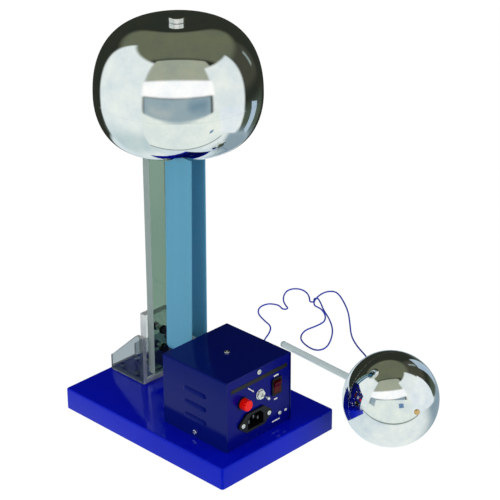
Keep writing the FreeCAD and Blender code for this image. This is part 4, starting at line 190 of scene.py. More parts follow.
class CameraSettings(bpy.types.PropertyGroup):
    azimuth: angle("Azimuth", "Direction of view round the object", -45.80)
    elevation: angle("Elevation", "Height of the camera above the horizon", 25.51)
    roll: angle("Roll", "Turn about the line of sight", -0.24)
    distance: length("Distance", "From the camera to the point that it looks at", 2478.72)
    target: bpy.props.FloatVectorProperty(name="Target", description="Point on the table that it looks at",
                                          subtype="TRANSLATION", unit="LENGTH", default=(0.35967, 0.26717, 0))
    lens: number("Lens", "Focal length on a 36 mm sensor, in millimetres", 131.72, 1)


class LightSettings(bpy.types.PropertyGroup):
    ambient: number("Ambient", "Strength of the light from all round", 0.36)
    side_lamps: number("Side lamps", "Power of the two low soft lamps in watts", 20.0)
    top_lamp: number("Top lamp", "Power of the soft lamp above in watts", 0.5)


SETTINGS = {
    "generator_finish": FinishSettings,
    "generator_sheet": SheetSettings,
    "generator_dome": DomeSettings,
    "generator_wand": WandSettings,
    "generator_lead": LeadSettings,
    "generator_camera": CameraSettings,
    "generator_light": LightSettings,
}


# ---------------------------------------------------------------- materials
def feed(tree, node, inputs):
    """Gives a node's inputs their values, or the output sockets that feed them."""
    for key, value in inputs.items():
        socket = node.inputs[key]
        if isinstance(value, bpy.types.NodeSocket):
            tree.links.new(value, socket)
        else:
            socket.default_value = (*value, 1) if socket.type == "RGBA" else value


def add(tree, kind, inputs=(), **settings):
    """Adds one node with its settings and inputs."""
    node = tree.nodes.new(kind)
    for name, value in settings.items():
        setattr(node, name, value)
    feed(tree, node, dict(inputs))
    return node


def start_material(name, values):
    """A new material, its node tree, its shader and the object's own coordinates."""
    material = bpy.data.materials.new(name)
    material.use_nodes = True
    tree = material.node_tree
    shader = tree.nodes["Principled BSDF"]
    feed(tree, shader, values)
    return material, tree, shader, add(tree, "ShaderNodeTexCoord").outputs["Object"]


def rgb_of(name):
    """Linear colour of a hex value or of one of the user's colours."""
    chosen = getattr(bpy.context.scene.generator_finish, name, None)
    return linear(name) if chosen is None else tuple(chosen)


def shade(rgb, factor):
    """A colour made lighter or darker."""
    return tuple(min(1.0, part * factor) for part in rgb)


def grain(tree, place, size_mm, detail=2.0, roughness=0.5, stretch=(1, 1, 1)):
    """Noise whose blobs measure size_mm, stretched along an axis where asked."""
    scaled = add(tree, "ShaderNodeMapping", {"Vector": place, "Scale": [1 / s for s in stretch]})
    return add(tree, "ShaderNodeTexNoise", {"Vector": scaled.outputs[0], "Scale": 1 / (size_mm * MM),
                                            "Detail": detail, "Roughness": roughness}).outputs["Fac"]


def uneven(tree, place, size_mm, low, high, *noise):
    """Value that wanders between two ends in blobs of size_mm."""
    return add(tree, "ShaderNodeMapRange", {"Value": grain(tree, place, size_mm, *noise), "From Min": 0.3,
                                            "From Max": 0.7, "To Min": low, "To Max": high}).outputs[0]


def mottled(tree, place, size_mm, first, second, *noise):
    """Colour that wanders between two others in blobs of size_mm."""
    share = uneven(tree, place, size_mm, 0, 1, *noise)
    return add(tree, "ShaderNodeMix", {0: share, 6: first, 7: second}, data_type="RGBA").outputs[2]


def relief(tree, place, size_mm, depth_mm, detail=1.0, strength=1.0):
    """Normal of a skin whose blobs measure size_mm and stand depth_mm high."""
    return add(tree, "ShaderNodeBump", {"Height": grain(tree, place, size_mm, detail),
                                        "Distance": depth_mm * MM, "Strength": strength}).outputs[0]


def enamel(name, base, roughness, gloss, sheen_hex):
    """Stove enamel on steel: deep even colour whose gloss is itself blue, with a faint orange peel."""
    material, tree, shader, place = start_material(name, {
        "IOR": 1.5, "Specular IOR Level": gloss, "Specular Tint": linear(sheen_hex)})
    rgb = rgb_of(base)
    feed(tree, shader, {
        "Base Color": mottled(tree, place, 70, shade(rgb, 0.95), shade(rgb, 1.05)),
        "Roughness": uneven(tree, place, 25, roughness * 0.85, roughness * 1.15, 3),
        "Normal": relief(tree, place, 2.5, 0.002)})
    return material


def mirror_steel(name, wave_mm):
    """Stainless steel, buffed: a mirror with polishing smears, a hand-worked swell and bluish mottling that
    is partly faint stains and partly painted reflection.
    """
    material, tree, shader, place = start_material(name, {"Metallic": 1.0})
    smear = grain(tree, place, 7, 6, 0.7, (3, 3, 0.35))
    feed(tree, shader, {
        # Bluish-grey mottling: partly faint stains, partly painted reflection that makes the mirror's
        # brightness uneven in patches.
        "Base Color": mottled(tree, place, wave_mm * 0.8, linear("DDE3E8"), linear("F6F5F0"), 4, 0.65),
        "Roughness": add(tree, "ShaderNodeMapRange", {"Value": smear, "From Min": 0.35, "From Max": 0.75,
                                                      "To Min": 0.015, "To Max": 0.11}).outputs[0],
        "Normal": relief(tree, place, wave_mm, 0.06, 2, 0.6)})
    return material


def bare_metal(name, base, roughness):
    """Plated or turned metal: its own colour, with fine lines of turning and light handling marks."""
    material, tree, shader, place = start_material(name, {"Metallic": 1.0})
    rgb = rgb_of(base)
    feed(tree, shader, {
        "Base Color": mottled(tree, place, 4, shade(rgb, 0.93), rgb),
        "Roughness": uneven(tree, place, 1.5, roughness * 0.8, roughness * 1.25),
        "Normal": relief(tree, place, 0.8, 0.001)})
    return material


def clear(name, base, roughness, thin_axis=None, edge_hex=None):
    """Cast acrylic or glass: clear with fine scratches; a plate's saw-cut edges are frosted and pale."""
    material, tree, shader, place = start_material(name, {
        "Base Color": rgb_of(base), "IOR": 1.49, "Transmission Weight": 1.0})
    scratched = uneven(tree, place, 6, roughness * 0.5, roughness, 3, 0.6)
    feed(tree, shader, {"Roughness": scratched})
    if thin_axis is None:
        return material
    outward = add(tree, "ShaderNodeTexCoord").outputs["Normal"]
    facing = add(tree, "ShaderNodeVectorMath", {0: outward, 1: thin_axis}, operation="DOT_PRODUCT")
    facing = add(tree, "ShaderNodeMath", {0: facing.outputs["Value"]}, operation="ABSOLUTE").outputs[0]
    cut, passing = (add(tree, "ShaderNodeMapRange", {"Value": facing, "From Min": 0.6, "From Max": 0.9,
                                                     "To Min": low, "To Max": high}).outputs[0]
                    for low, high in ((1, 0), (0.45, 1)))
    feed(tree, shader, {
        "Base Color": add(tree, "ShaderNodeMix", {0: cut, 6: rgb_of(base), 7: linear(edge_hex)},
                          data_type="RGBA").outputs[2],
        "Roughness": add(tree, "ShaderNodeMix", {0: cut, 2: scratched, 3: 0.4}).outputs[0],
        "Transmission Weight": passing})
    return material


BELT_MIDDLE_X = -2 * MM  # inside the belt's loop, so that its inner side can be told


def belt_rubber(name, base):
    """Calendered rubber sheet: matt, slightly dusty, with long rubbing streaks; its inner side carries
    painted light, made paler to lift the shade between the runs.
    """
    material, tree, shader, place = start_material(name, {"IOR": 1.5})
    rgb = rgb_of(base)
    face = mottled(tree, place, 12, shade(rgb, 0.97), shade(rgb, 1.03), 2, 0.5, (1, 1, 20))
    outward = add(tree, "ShaderNodeTexCoord").outputs["Normal"]
    sides = add(tree, "ShaderNodeVectorMath", {0: place, 1: (-BELT_MIDDLE_X, 0, 0)}).outputs[0]
    sides = add(tree, "ShaderNodeVectorMath", {0: sides, 1: X_AXIS}, operation="MULTIPLY").outputs[0]
    inner = add(tree, "ShaderNodeVectorMath", {0: sides, 1: outward}, operation="DOT_PRODUCT")
    inner = add(tree, "ShaderNodeMapRange", {"Value": inner.outputs["Value"], "From Min": -0.002,
                                             "From Max": 0.0, "To Min": 1, "To Max": 0}).outputs[0]
    # Painted light: the inner side is brightened 1.35 times, lifting the shade that falls between the belt's
    # runs.
    feed(tree, shader, {
        "Base Color": add(tree, "ShaderNodeMix", {0: inner, 6: face, 7: shade(rgb, 1.35)},
                          data_type="RGBA").outputs[2],
        "Roughness": uneven(tree, place, 4, 0.55, 0.7),
        "Normal": relief(tree, place, 1.2, 0.006, 2)})
    return material


def moulded(name, base, roughness, grain_mm=0.6, depth_mm=0.01, gloss=0.5):
    """Injection-moulded plastic: even colour, fine spark-eroded grain, soft gloss."""
    material, tree, shader, place = start_material(name, {"IOR": 1.5, "Specular IOR Level": gloss})
    rgb = rgb_of(base)
    feed(tree, shader, {
        "Base Color": mottled(tree, place, 6, shade(rgb, 0.9), shade(rgb, 1.1)),
        "Roughness": uneven(tree, place, 2.5, roughness * 0.85, roughness * 1.2, 3),
        "Normal": relief(tree, place, grain_mm, depth_mm, 2)})
    return material


WAVE_LENGTH = 0.314      # metres from band to band of a Wave Texture whose scale is 1


def banded(name, first_hex, second_hex, pitch_mm, direction, metallic, roughness):
    """Stacked laminations or wound wire: narrow bands with a groove between each two."""
    material, tree, shader, place = start_material(name, {"Metallic": metallic, "Roughness": roughness})
    # The real pitch is finer than shows, so pitch_mm is twice its size.
    scale = WAVE_LENGTH / (pitch_mm * MM)
    band = add(tree, "ShaderNodeTexWave", {"Vector": place, "Scale": scale, "Distortion": 0.4},
               bands_direction=direction, wave_profile="SIN").outputs["Fac"]
    feed(tree, shader, {
        "Base Color": add(tree, "ShaderNodeMix", {0: band, 6: linear(first_hex), 7: linear(second_hex)},
                          data_type="RGBA").outputs[2],
        "Normal": add(tree, "ShaderNodeBump", {"Height": band, "Distance": 0.1 * MM}).outputs[0]})
    return material


# Each finish: how it is made, the material's name, its colour and the rest of what that function takes.
FINISHES = {
    # Stove enamel: wet-looking and deep blue on the base, darker on the cover, softer on the panel.
    "base_enamel": (enamel, "stove_enamel_blue", "base_blue", 0.1, 0.35, "7CB0FF"),
    "box_enamel": (enamel, "stove_enamel_navy", "box_navy", 0.14, 0.28, "4468FF"),
    "panel_enamel": (enamel, "stove_enamel_violet_blue", "panel_blue", 0.25, 0.2, "5068C8"),
    # Buffed stainless: broad swell on the spun dome, tighter on the pressed ball.
    "dome_steel": (mirror_steel, "stainless_spun_mirror", 30),
    "ball_steel": (mirror_steel, "stainless_pressed_mirror", 16),
    # Nickel: bright on screws, satin on the toggle, grey on the inlet's dull pins.
    "nickel": (bare_metal, "steel_nickel_plated", "E2E2DE", 0.16),
    "satin_nickel": (bare_metal, "steel_nickel_satin", "EEEEEA", 0.34),
    "dull_pin": (bare_metal, "brass_pins_plated_dull", "75777A", 0.4),
    # Zinc is bluish and cloudy, black oxide nearly black with a grey gleam.
    "zinc": (bare_metal, "steel_zinc_plated", "B4B8BA", 0.38),
    "black_oxide": (bare_metal, "steel_black_oxide", "2A2C30", 0.35),
    # Turned brass is pale gold and bright, sintered bronze brown and dull.
    "brass": (bare_metal, "brass_turned", "D9B57C", 0.14),
    "bronze": (bare_metal, "bronze_sintered", "8A6238", 0.5),
    # Acrylic: the upright's green is painted, standing for a green wall seen through the plate, with grey
    # edges; the foot is nearly colourless with white ones.
    "upright_acrylic": (clear, "acrylic_cast_green", "upright_tint", 0.05, Y_AXIS, "A4B4B0"),
    "wall_acrylic": (clear, "acrylic_cast_wall", "CBD6D4", 0.03, Y_AXIS, "F4F8F8"),
    "gusset_acrylic": (clear, "acrylic_cast_gusset", "foot_tint", 0.03, X_AXIS, "F4F8F8"),
    "floor_acrylic": (clear, "acrylic_cast_floor", "D4DCDA", 0.03, Z_AXIS, "F4F8F8"),
    # The handle's grey is painted shade, for the darker surroundings seen through it.
    "rod_acrylic": (clear, "acrylic_rod_clear", "rod_tint", 0.02),
    "fuse_glass": (clear, "glass_fuse_tube", "F2F6F4", 0.02),
    # Rubber: the belt is chalky blue, the mat black, ribbed and dead matt.
    "belt": (belt_rubber, "rubber_sheet_blue", "belt_blue"),
    "mat": (moulded, "rubber_ribbed_black", "1B1C1D", 0.8, 1.5, 0.2),
    # Polyamide: black with a low satin gloss.
    "black_plastic": (moulded, "polyamide_black", "0C0D10", 0.4, 0.6, 0.01, 0.2),
    # Phenolic: saturated red with a hard gloss; the rocker's lens is deep red and glassy.
    "red_cap": (moulded, "phenolic_red", "fuse_red", 0.22, 0.6, 0.01, 0.2),
    "red_lens": (moulded, "polycarbonate_red_tint", "lamp_red", 0.12, 3, 0.003, 0.12),
    # Turned nylon: warm white and waxy.
    "nylon": (moulded, "nylon_white_turned", "E4E1D6", 0.45, 0.8),
    # Stacked sheets grey in grey; enamelled wire glows copper brown.
    "laminations": (banded, "steel_laminated", "2E3034", "6A6C70", 1.0, "Y", 0.8, 0.5),
    "winding": (banded, "copper_enamelled_wire", "5A2410", "B45A2A", 0.8, "Z", 0.7, 0.35),
    # Board and its parts: green with a woven shimmer, plain grey.
    "board": (moulded, "glass_epoxy_green", "1F5C38", 0.4, 2.0, 0.02),
    "grey_part": (moulded, "epoxy_grey", "4C5056", 0.45),
    # Vinyl sleeve: bright blue and slightly waxy.
    "vinyl": (moulded, "vinyl_sleeve_blue", "lead_blue", 0.38, 1.2),
    # Screen ink is chalky white, the anodised strip black and silky.
    "print_white": (moulded, "screen_ink_white", "E6E6E2", 0.6),
    "strip_black": (moulded, "anodised_strip_black", "0C0D10", 0.35, 0.6, 0.01, 0.25),
}


def finished(name):
    """The material of a finish, made when it is first asked for."""
    maker, *values = FINISHES[name]
    return bpy.data.materials.get(values[0]) or maker(*values)


# ---------------------------------------------------------------- making pieces
WELD = 0.001 * MM        # points closer than this are one
HAIRLINE = 0.04 * MM     # how far a clear plate is drawn in from its neighbours


def new_object(name, data):
    """A new object in the scene."""
    thing = bpy.data.objects.new(name, data)
    bpy.context.scene.collection.objects.link(thing)
    return thing


def mesh_object(name, bm, material):
    """Turns a bmesh into an object in the scene."""
    mesh = bpy.data.meshes.new(name)
    bm.to_mesh(mesh)
    bm.free()
    mesh.materials.append(material)
    return new_object(name, mesh)


def new_piece(name, bm, body, finish, nodes, crease=30):
    """Turns a bmesh into a piece that rides on a body and stands for CAD nodes."""
    piece = mesh_object(name, bm, finished(finish))
    piece.data.shade_smooth()
    piece.data.set_sharp_from_angle(angle=math.radians(crease))
    if body:
        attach(piece, body)
    if nodes:
        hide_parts(*nodes)
    return piece


def body_of_node(node):
    """Body that a CAD node rides on."""
    return frame["nodes"][node]["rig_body"]


def paint(finish, *nodes):
    """Gives CAD nodes that keep their own mesh a material."""
    for node in nodes:
        slots = frame["nodes"][node].data.materials
        slots.clear()
        slots.append(finished(finish))


def thicken(piece, wall):
    """Gives an open sheet its thickness, inwards."""
    sheet = piece.modifiers.new("sheet thickness", "SOLIDIFY")
    sheet.thickness = wall
    sheet.offset = -1
    sheet.use_even_offset = True


def ease_edges(piece, width_mm, sharper_than=35):
    """Breaks a piece's edges that turn by more than an angle in degrees."""
    edges = piece.modifiers.new("broken edges", "BEVEL")
    edges.width = width_mm * MM
    edges.segments = 2
    edges.limit_method = "ANGLE"
    edges.angle_limit = math.radians(sharper_than)
    edges.harden_normals = True


def eased_copy(node, finish, width_mm, crease=30):
    """Merged copy of a CAD node with smooth faces and broken edges, in place of the node."""
    bm = bmesh.new()
    bm.from_mesh(frame["nodes"][node].data)
    bmesh.ops.remove_doubles(bm, verts=bm.verts, dist=WELD)
    bmesh.ops.dissolve_limit(bm, angle_limit=math.radians(0.5), verts=bm.verts, edges=bm.edges)
    piece = new_piece(node + "_finished", bm, body_of_node(node), finish, [node], crease)
    if width_mm:
        ease_edges(piece, width_mm)
    return piece


def clear_plate(node, finish):
    """Eased copy of an acrylic solid, drawn in by a hair so that it touches no other plate."""
    plate = eased_copy(node, finish, 0.4)
    drawn_in = plate.modifiers.new("hairline gap", "DISPLACE")
    drawn_in.strength = -HAIRLINE
    drawn_in.mid_level = 0
    return plate


def block(bm, low, high):
    """Rectangular block between two corners; returns its vertices."""
    size = Vector(high) - Vector(low)
    verts = bmesh.ops.create_cube(bm, size=1)["verts"]
    bmesh.ops.scale(bm, vec=size, verts=verts)
    bmesh.ops.translate(bm, vec=(Vector(low) + Vector(high)) / 2, verts=verts)
    return verts


def edges_of(verts, axis, above=-math.inf):
    """Edges of the given vertices that run along an axis and lie above a height."""
    found = set()
    for vert in verts:
        for edge in vert.link_edges:
            first, second = (end.co for end in edge.verts)
            if abs((second - first).normalized().dot(axis)) > 0.999 and (first.z + second.z) / 2 > above:
                found.add(edge)
    return list(found)


def round_off(bm, edges, radius, segments):
    """Rounds edges with a true radius."""
    bmesh.ops.bevel(bm, geom=edges, offset=radius, offset_type="OFFSET", segments=segments,
                    profile=0.5, affect="EDGES", material=-1)


def turned(bm, outline, centre, axis, steps):
    """Spins (radius, height) points about an axis and closes the seam and the poles."""
    turn = Z_AXIS.rotation_difference(Vector(axis)).to_matrix()
    verts = [bm.verts.new(Vector(centre) + turn @ Vector((r, 0, h))) for r, h in outline]
    edges = [bm.edges.new(pair) for pair in zip(verts, verts[1:])]
    bmesh.ops.spin(bm, geom=verts + edges, cent=centre, axis=axis, angle=2 * math.pi, steps=steps,
                   use_merge=True)
    bmesh.ops.remove_doubles(bm, verts=bm.verts, dist=WELD / 2)
    bmesh.ops.recalc_face_normals(bm, faces=list(bm.faces))


# ---------------------------------------------------------------- base
class GENERATOR_OT_base(bpy.types.Operator):
    """Folded base pan with its posts, and what closes it below"""

    bl_idname = "generator.base"
    bl_label = "Base"

    def execute(self, context):
        own = context.scene.generator_sheet
        low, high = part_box("base_pan")
        bm = bmesh.new()
        shell = block(bm, low, high)
        round_off(bm, edges_of(shell, Z_AXIS), own.base_corner, segments=8)
        top = [e for e in bm.edges if all(abs(v.co.z - high.z) < 1e-6 for v in e.verts)]
        round_off(bm, top, own.base_edge, segments=6)
        under = [f for f in bm.faces if f.normal.z < -0.9]
        bmesh.ops.delete(bm, geom=under, context="FACES")
        bmesh.ops.solidify(bm, geom=list(bm.faces), thickness=own.base_wall)
        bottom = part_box("base_floor_plate")[1].z
        roof = high.z - own.base_wall
        for sx in (-1, 1):
            for sy in (-1, 1):
                post = bmesh.ops.create_cone(bm, cap_ends=True, segments=24, radius1=own.post_radius,
                                             radius2=own.post_radius, depth=roof - bottom)["verts"]
                bmesh.ops.translate(bm, verts=post, vec=(sx * (high.x - own.post_inset),
                                                         sy * (high.y - own.post_inset), (roof + bottom) / 2))
        new_piece("base_pan_enamelled", bm, "root", "base_enamel", ["base_pan"])
        paint("zinc", "base_floor_plate", "base_plate_screws")
        paint("mat", "base_mat")
        return {"FINISHED"}


# ---------------------------------------------------------------- control box
def louvre_hood(bm, side, wall_x, middle_y, low_z, own):
    """Pressed hood: half a stretched dome that stands on the wall and is open below."""
    hood = bmesh.ops.create_uvsphere(bm, u_segments=32, v_segments=20, radius=1)["verts"]
    bmesh.ops.scale(bm, vec=(own.louvre_bulge, own.louvre_height, own.louvre_height), verts=hood)
    straight = own.louvre_length / 2 - own.louvre_height
    for end in (-1, 1):
        half = [v for v in hood if v.co.y * end > 1e-7]
        bmesh.ops.translate(bm, vec=(0, end * straight, 0), verts=half)
    bmesh.ops.translate(bm, vec=(wall_x, middle_y, low_z), verts=hood)
    for point, outward in (((wall_x, 0, 0), (-side, 0, 0)), ((0, 0, low_z), (0, 0, -1))):
        alive = [v for v in hood if v.is_valid]
        around = {g for v in alive for g in [v, *v.link_edges, *v.link_faces]}
        cut = bmesh.ops.bisect_plane(bm, geom=list(around), dist=1e-7, plane_co=point, plane_no=outward,
                                     clear_outer=True)
        hood = [v for v in alive if v.is_valid]
        hood += [g for g in cut["geom_cut"] if isinstance(g, bmesh.types.BMVert)]


class GENERATOR_OT_cover(bpy.types.Operator):
    """Folded cover of the control box with three louvres pressed into each side"""

    bl_idname = "generator.cover"
    bl_label = "Cover"

    def execute(self, context):
        own = context.scene.generator_sheet
        (low_x, low_y, _), (high_x, high_y, high_z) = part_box("box_cover")
        chassis_low, chassis_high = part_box("box_chassis")
        low_z = chassis_low.z
        middle_x = (chassis_low.x + chassis_high.x) / 2
        half = (high_x - low_x) / 2 - own.louvre_bulge
        left, right = middle_x - half, middle_x + half
        middle_y = (low_y + high_y) / 2
        bm = bmesh.new()
        sheet = block(bm, (left, low_y, low_z), (right, high_y, high_z))
        round_off(bm, edges_of(sheet, Y_AXIS, high_z - MM), own.roof_fold, segments=6)
        open_faces = [f for f in bm.faces if abs(f.normal.y) > 0.9 or f.normal.z < -0.9]
        bmesh.ops.delete(bm, geom=open_faces, context="FACES")
        starts = [low_z + own.louvre_first + i * own.louvre_pitch - own.louvre_height / 2 for i in range(3)]
        slot_half = own.louvre_length / 2 - own.box_sheet
        slot_height = own.louvre_height - 2 * own.box_sheet
        cuts = [((0, middle_y + s * slot_half, 0), Y_AXIS) for s in (-1, 1)]
        cuts += [((0, 0, z + rise), Z_AXIS) for z in starts for rise in (0, slot_height)]
        for point, across in cuts:
            whole = [*bm.verts, *bm.edges, *bm.faces]
            bmesh.ops.bisect_plane(bm, geom=whole, plane_co=point, plane_no=across)
        sides = [(f, f.calc_center_median()) for f in bm.faces if abs(f.normal.x) > 0.9]
        slots = [f for f, middle in sides if abs(middle.y - middle_y) < slot_half
                 and any(0 < middle.z - z < slot_height for z in starts)]
        bmesh.ops.delete(bm, geom=slots, context="FACES")
        for side, wall_x in ((-1, left), (1, right)):
            for z in starts:
                louvre_hood(bm, side, wall_x, middle_y, z, own)
        cover = new_piece("box_cover_enamelled", bm, "root", "box_enamel", ["box_cover"])
        thicken(cover, own.box_sheet)
        ease_edges(cover, 0.2)
        return {"FINISHED"}


# The panel's dark strip: left, bottom, right and top in mm.
PANEL_STRIP = (-54, 95.5, 33, 100.5)
# Plain white marks of the panel: middle X and Z, width, height in mm, slant in degrees.
# The first, slanted one is a white dash above and left of the toggle, in line with its lever.
PANEL_MARKS = [(-23.6, 89.3, 11.3, 1.2, 42.0), (15.0, 62.4, 5.0, 1.8, 0), (15.6, 91.4, 7.0, 1.8, 0),
               (31.0, 42.0, 3.5, 2.5, 0), (15.5, 35.2, 12.0, 1.5, 0)]


class GENERATOR_OT_box(bpy.types.Operator):
    """Chassis with its front panel, case screws, bare strip and plain marks"""

    bl_idname = "generator.box"
    bl_label = "Control box"

    def execute(self, context):
        own = context.scene.generator_sheet
        eased_copy("box_chassis", "panel_enamel", 0.2)
        eased_copy("cover_screws", "nickel", 0.1)
        paint("zinc", "box_mount_screws")
        panel_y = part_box("box_chassis")[0].y
        bm = bmesh.new()
        left, bottom, right, top = (part * MM for part in PANEL_STRIP)
        strip = block(bm, (left, panel_y - own.strip_sheet, bottom), (right, panel_y, top))
        round_off(bm, edges_of(strip, Y_AXIS), own.strip_corner, segments=4)
        new_piece("panel_strip", bm, "root", "strip_black", ())
        bm = bmesh.new()
        for x, z, wide, tall, slant in PANEL_MARKS:
            half = Vector((wide, 0, tall)) * MM / 2
            front = Vector((0, panel_y - own.mark_sheet, 0))
            mark = block(bm, front - half, half + Vector((0, panel_y, 0)))
            turn = Matrix.Rotation(math.radians(slant), 3, "Y")
            bmesh.ops.rotate(bm, verts=mark, cent=(0, 0, 0), matrix=turn)
            bmesh.ops.translate(bm, verts=mark, vec=(x * MM, 0, z * MM))
        new_piece("panel_marks", bm, "root", "print_white", ())
        return {"FINISHED"}


# ---------------------------------------------------------------- panel fittings
class GENERATOR_OT_fittings(bpy.types.Operator):
    """Inlet, fuse, switches and earth screw of the control panel"""

    bl_idname = "generator.fittings"
    bl_label = "Fittings"

    def execute(self, context):
        eased_copy("inlet_body", "black_plastic", 0.35)
        eased_copy("inlet_pins", "dull_pin", 0.3)
        eased_copy("inlet_screws", "nickel", 0.1)
        eased_copy("fuse_holder", "black_plastic", 0.3)
        eased_copy("fuse_cap", "red_cap", 0.2)
        eased_copy("toggle_body", "nickel", 0.15)
        eased_copy("toggle_nut", "satin_nickel", 0.2)
        eased_copy("toggle_lever", "satin_nickel", 0.0, crease=50)
        eased_copy("rocker_housing", "black_plastic", 0.3)
        eased_copy("rocker_button", "red_lens", 0.4)
        eased_copy("earth_screw", "nickel", 0.1)
        paint("fuse_glass", "fuse_link")
        return {"FINISHED"}


class GENERATOR_OT_power(bpy.types.Operator):
    """Transformer and rectifier board inside the box"""

    bl_idname = "generator.power"
    bl_label = "Power supply"

    def execute(self, context):
        paint("laminations", "transformer_core")
        paint("winding", "transformer_coil")
        paint("board", "rectifier_board")
        paint("grey_part", "board_parts")
        return {"FINISHED"}


class GENERATOR_OT_drive(bpy.types.Operator):
    """Motor, coupling, shafts, bearing and rollers"""

    bl_idname = "generator.drive"
    bl_label = "Drive"

    def execute(self, context):
        paint("zinc", "motor_case", "motor_bracket", "motor_screws")
        paint("black_plastic", "motor_end_cap")
        paint("laminations", "motor_rotor")
        paint("nickel", "roller_shaft", "shaft_coupler")
        eased_copy("rear_bearing", "bronze", 0.3)
        eased_copy("lower_roller", "nylon", 0.4)
        eased_copy("upper_roller", "nylon", 0.4)
        eased_copy("shaft_nut", "black_oxide", 0.2)
        return {"FINISHED"}


def roller_axis(node):
    """Middle of a roller, on the plane y = 0, from its box."""
    low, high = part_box(node)
    return Vector(((low.x + high.x) / 2, 0, (low.z + high.z) / 2))


class GENERATOR_OT_belt(bpy.types.Operator):
    """Endless belt with an arc round each roller and two straight runs, and its combs"""

    bl_idname = "generator.belt"
    bl_label = "Belt"

    def execute(self, context):
        low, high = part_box("charge_belt")
        below, above = roller_axis("lower_roller"), roller_axis("upper_roller")
        low_radius, high_radius = below.z - low.z, high.z - above.z
        between = above - below
        lean = math.asin((low_radius - high_radius) / between.length)
        between.normalize()
        across = Vector((between.z, 0, -between.x))
        touch = {side: across * (side * math.cos(lean)) + between * math.sin(lean) for side in (-1, 1)}
        bm = bmesh.new()
        start = below + touch[1] * low_radius
        ends = [bm.verts.new((start.x, y, start.z)) for y in (low.y, high.y)]
        last = ends + [bm.edges.new(ends)]
        for centre, wrap, run in (
                (below, math.pi + 2 * lean, above + touch[-1] * high_radius - below - touch[-1] * low_radius),
                (above, math.pi - 2 * lean, start - above - touch[1] * high_radius)):
            last = bmesh.ops.spin(bm, geom=last, cent=centre, axis=Y_AXIS, angle=wrap, steps=40)["geom_last"]
            edge = [part for part in last if isinstance(part, bmesh.types.BMEdge)]
            last = bmesh.ops.extrude_edge_only(bm, edges=edge)["geom"]
            moved = [part for part in last if isinstance(part, bmesh.types.BMVert)]
            bmesh.ops.translate(bm, vec=run, verts=moved)
            last = [part for part in last if not isinstance(part, bmesh.types.BMFace)]
        bmesh.ops.remove_doubles(bm, verts=bm.verts, dist=WELD)
        bmesh.ops.recalc_face_normals(bm, faces=list(bm.faces))
        belt = new_piece("charge_belt_rubber", bm, "root", "belt", ["charge_belt"],
                         crease=40)
        thicken(belt, context.scene.generator_sheet.belt_sheet)
        ease_edges(belt, 0.2)
        paint("zinc", "lower_comb", "upper_comb", "lower_comb_post")
        return {"FINISHED"}


# ---------------------------------------------------------------- column
class GENERATOR_OT_column(bpy.types.Operator):
    """Clear upright on its screwed foot, with dark bolts"""

    bl_idname = "generator.column"
    bl_label = "Column"

    def execute(self, context):
        for node, finish in (("upright", "upright_acrylic"), ("foot_wall", "wall_acrylic"),
                             ("foot_gussets", "gusset_acrylic"), ("foot_floor", "floor_acrylic")):
            clear_plate(node, finish)
        eased_copy("upright_bolts", "black_oxide", 0.2)
        eased_copy("foot_screws", "nickel", 0.1)
        return {"FINISHED"}


# ---------------------------------------------------------------- dome
QUARTER_STEPS = 56       # faces from the dome's flat to its equator
LIP = ((0, 1.5), (0.5, 0.4), (1.5, 0))  # how the neck's edge turns in, outwards and upwards in mm


def quarter(flat_radius, flat_z, power, equator, radius):
    """Softly squared quarter from a flat of the dome out to its equator."""
    points = []
    for index in range(QUARTER_STEPS + 1):
        turn = math.pi / 2 * index / QUARTER_STEPS
        points.append((flat_radius + (radius - flat_radius) * math.sin(turn) ** (2 / power),
                       equator + (flat_z - equator) * math.cos(turn) ** (2 / power)))
    return points


class GENERATOR_OT_dome(bpy.types.Operator):
    """Two spun halves of the dome with their seam at the widest place"""

    bl_idname = "generator.dome"
    bl_label = "Dome"

    def execute(self, context):
        own = context.scene.generator_dome
        top_low, top_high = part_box("dome_upper_shell")
        radius = (top_high.x - top_low.x) / 2
        axis = ((top_high.x + top_low.x) / 2, (top_high.y + top_low.y) / 2, 0)
        top_z = top_high.z
        bottom_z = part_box("dome_lower_shell")[0].z
        bm = bmesh.new()
        crown = quarter(own.crown_radius, top_z, own.crown_power, own.equator, radius)
        turned(bm, [(own.stud_hole, top_z)] + crown, axis, Z_AXIS, own.steps)
        upper = new_piece("dome_upper_mirror", bm, "dome", "dome_steel", ["dome_upper_shell"],
                          crease=60)
        bm = bmesh.new()
        lip = [(own.neck_radius, bottom_z + own.neck_lip)]
        lip += [(own.neck_radius + out * MM, bottom_z + rise * MM) for out, rise in LIP]
        belly = quarter(own.belly_radius, bottom_z, own.belly_power, own.equator, radius)
        turned(bm, lip + belly, axis, Z_AXIS, own.steps)
        lower = new_piece("dome_lower_mirror", bm, "dome", "dome_steel", ["dome_lower_shell"],
                          crease=60)
        for half in (upper, lower):
            thicken(half, own.wall)
            ease_edges(half, 0.12, sharper_than=60)
        return {"FINISHED"}


class GENERATOR_OT_knob(bpy.types.Operator):
    """Low turned thumb nut, and what carries the dome"""

    bl_idname = "generator.knob"
    bl_label = "Knob"

    def execute(self, context):
        own = context.scene.generator_dome
        low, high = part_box("dome_knob")
        radius = (high.x - low.x) / 2
        centre = ((high.x + low.x) / 2, (high.y + low.y) / 2, low.z)
        tall = high.z - low.z
        edge = own.knob_edge
        outline = [(own.knob_bore, 0), (radius - edge, 0), (radius, edge), (radius, tall - edge),
                   (radius - edge, tall), (0, tall), (0, own.knob_depth), (own.knob_bore, own.knob_depth),
                   (own.knob_bore, 0)]
        bm = bmesh.new()
        turned(bm, outline, centre, Z_AXIS, steps=64)
        knob = new_piece("dome_knob_turned", bm, "knob", "nickel", ["dome_knob"])
        ease_edges(knob, 0.12)
        paint("nickel", "dome_stud", "dome_arm", "upper_axle", "upper_fixings")
        return {"FINISHED"}


# ---------------------------------------------------------------- wand
BALL_STEPS = 40          # faces from the ball's pole to its seam


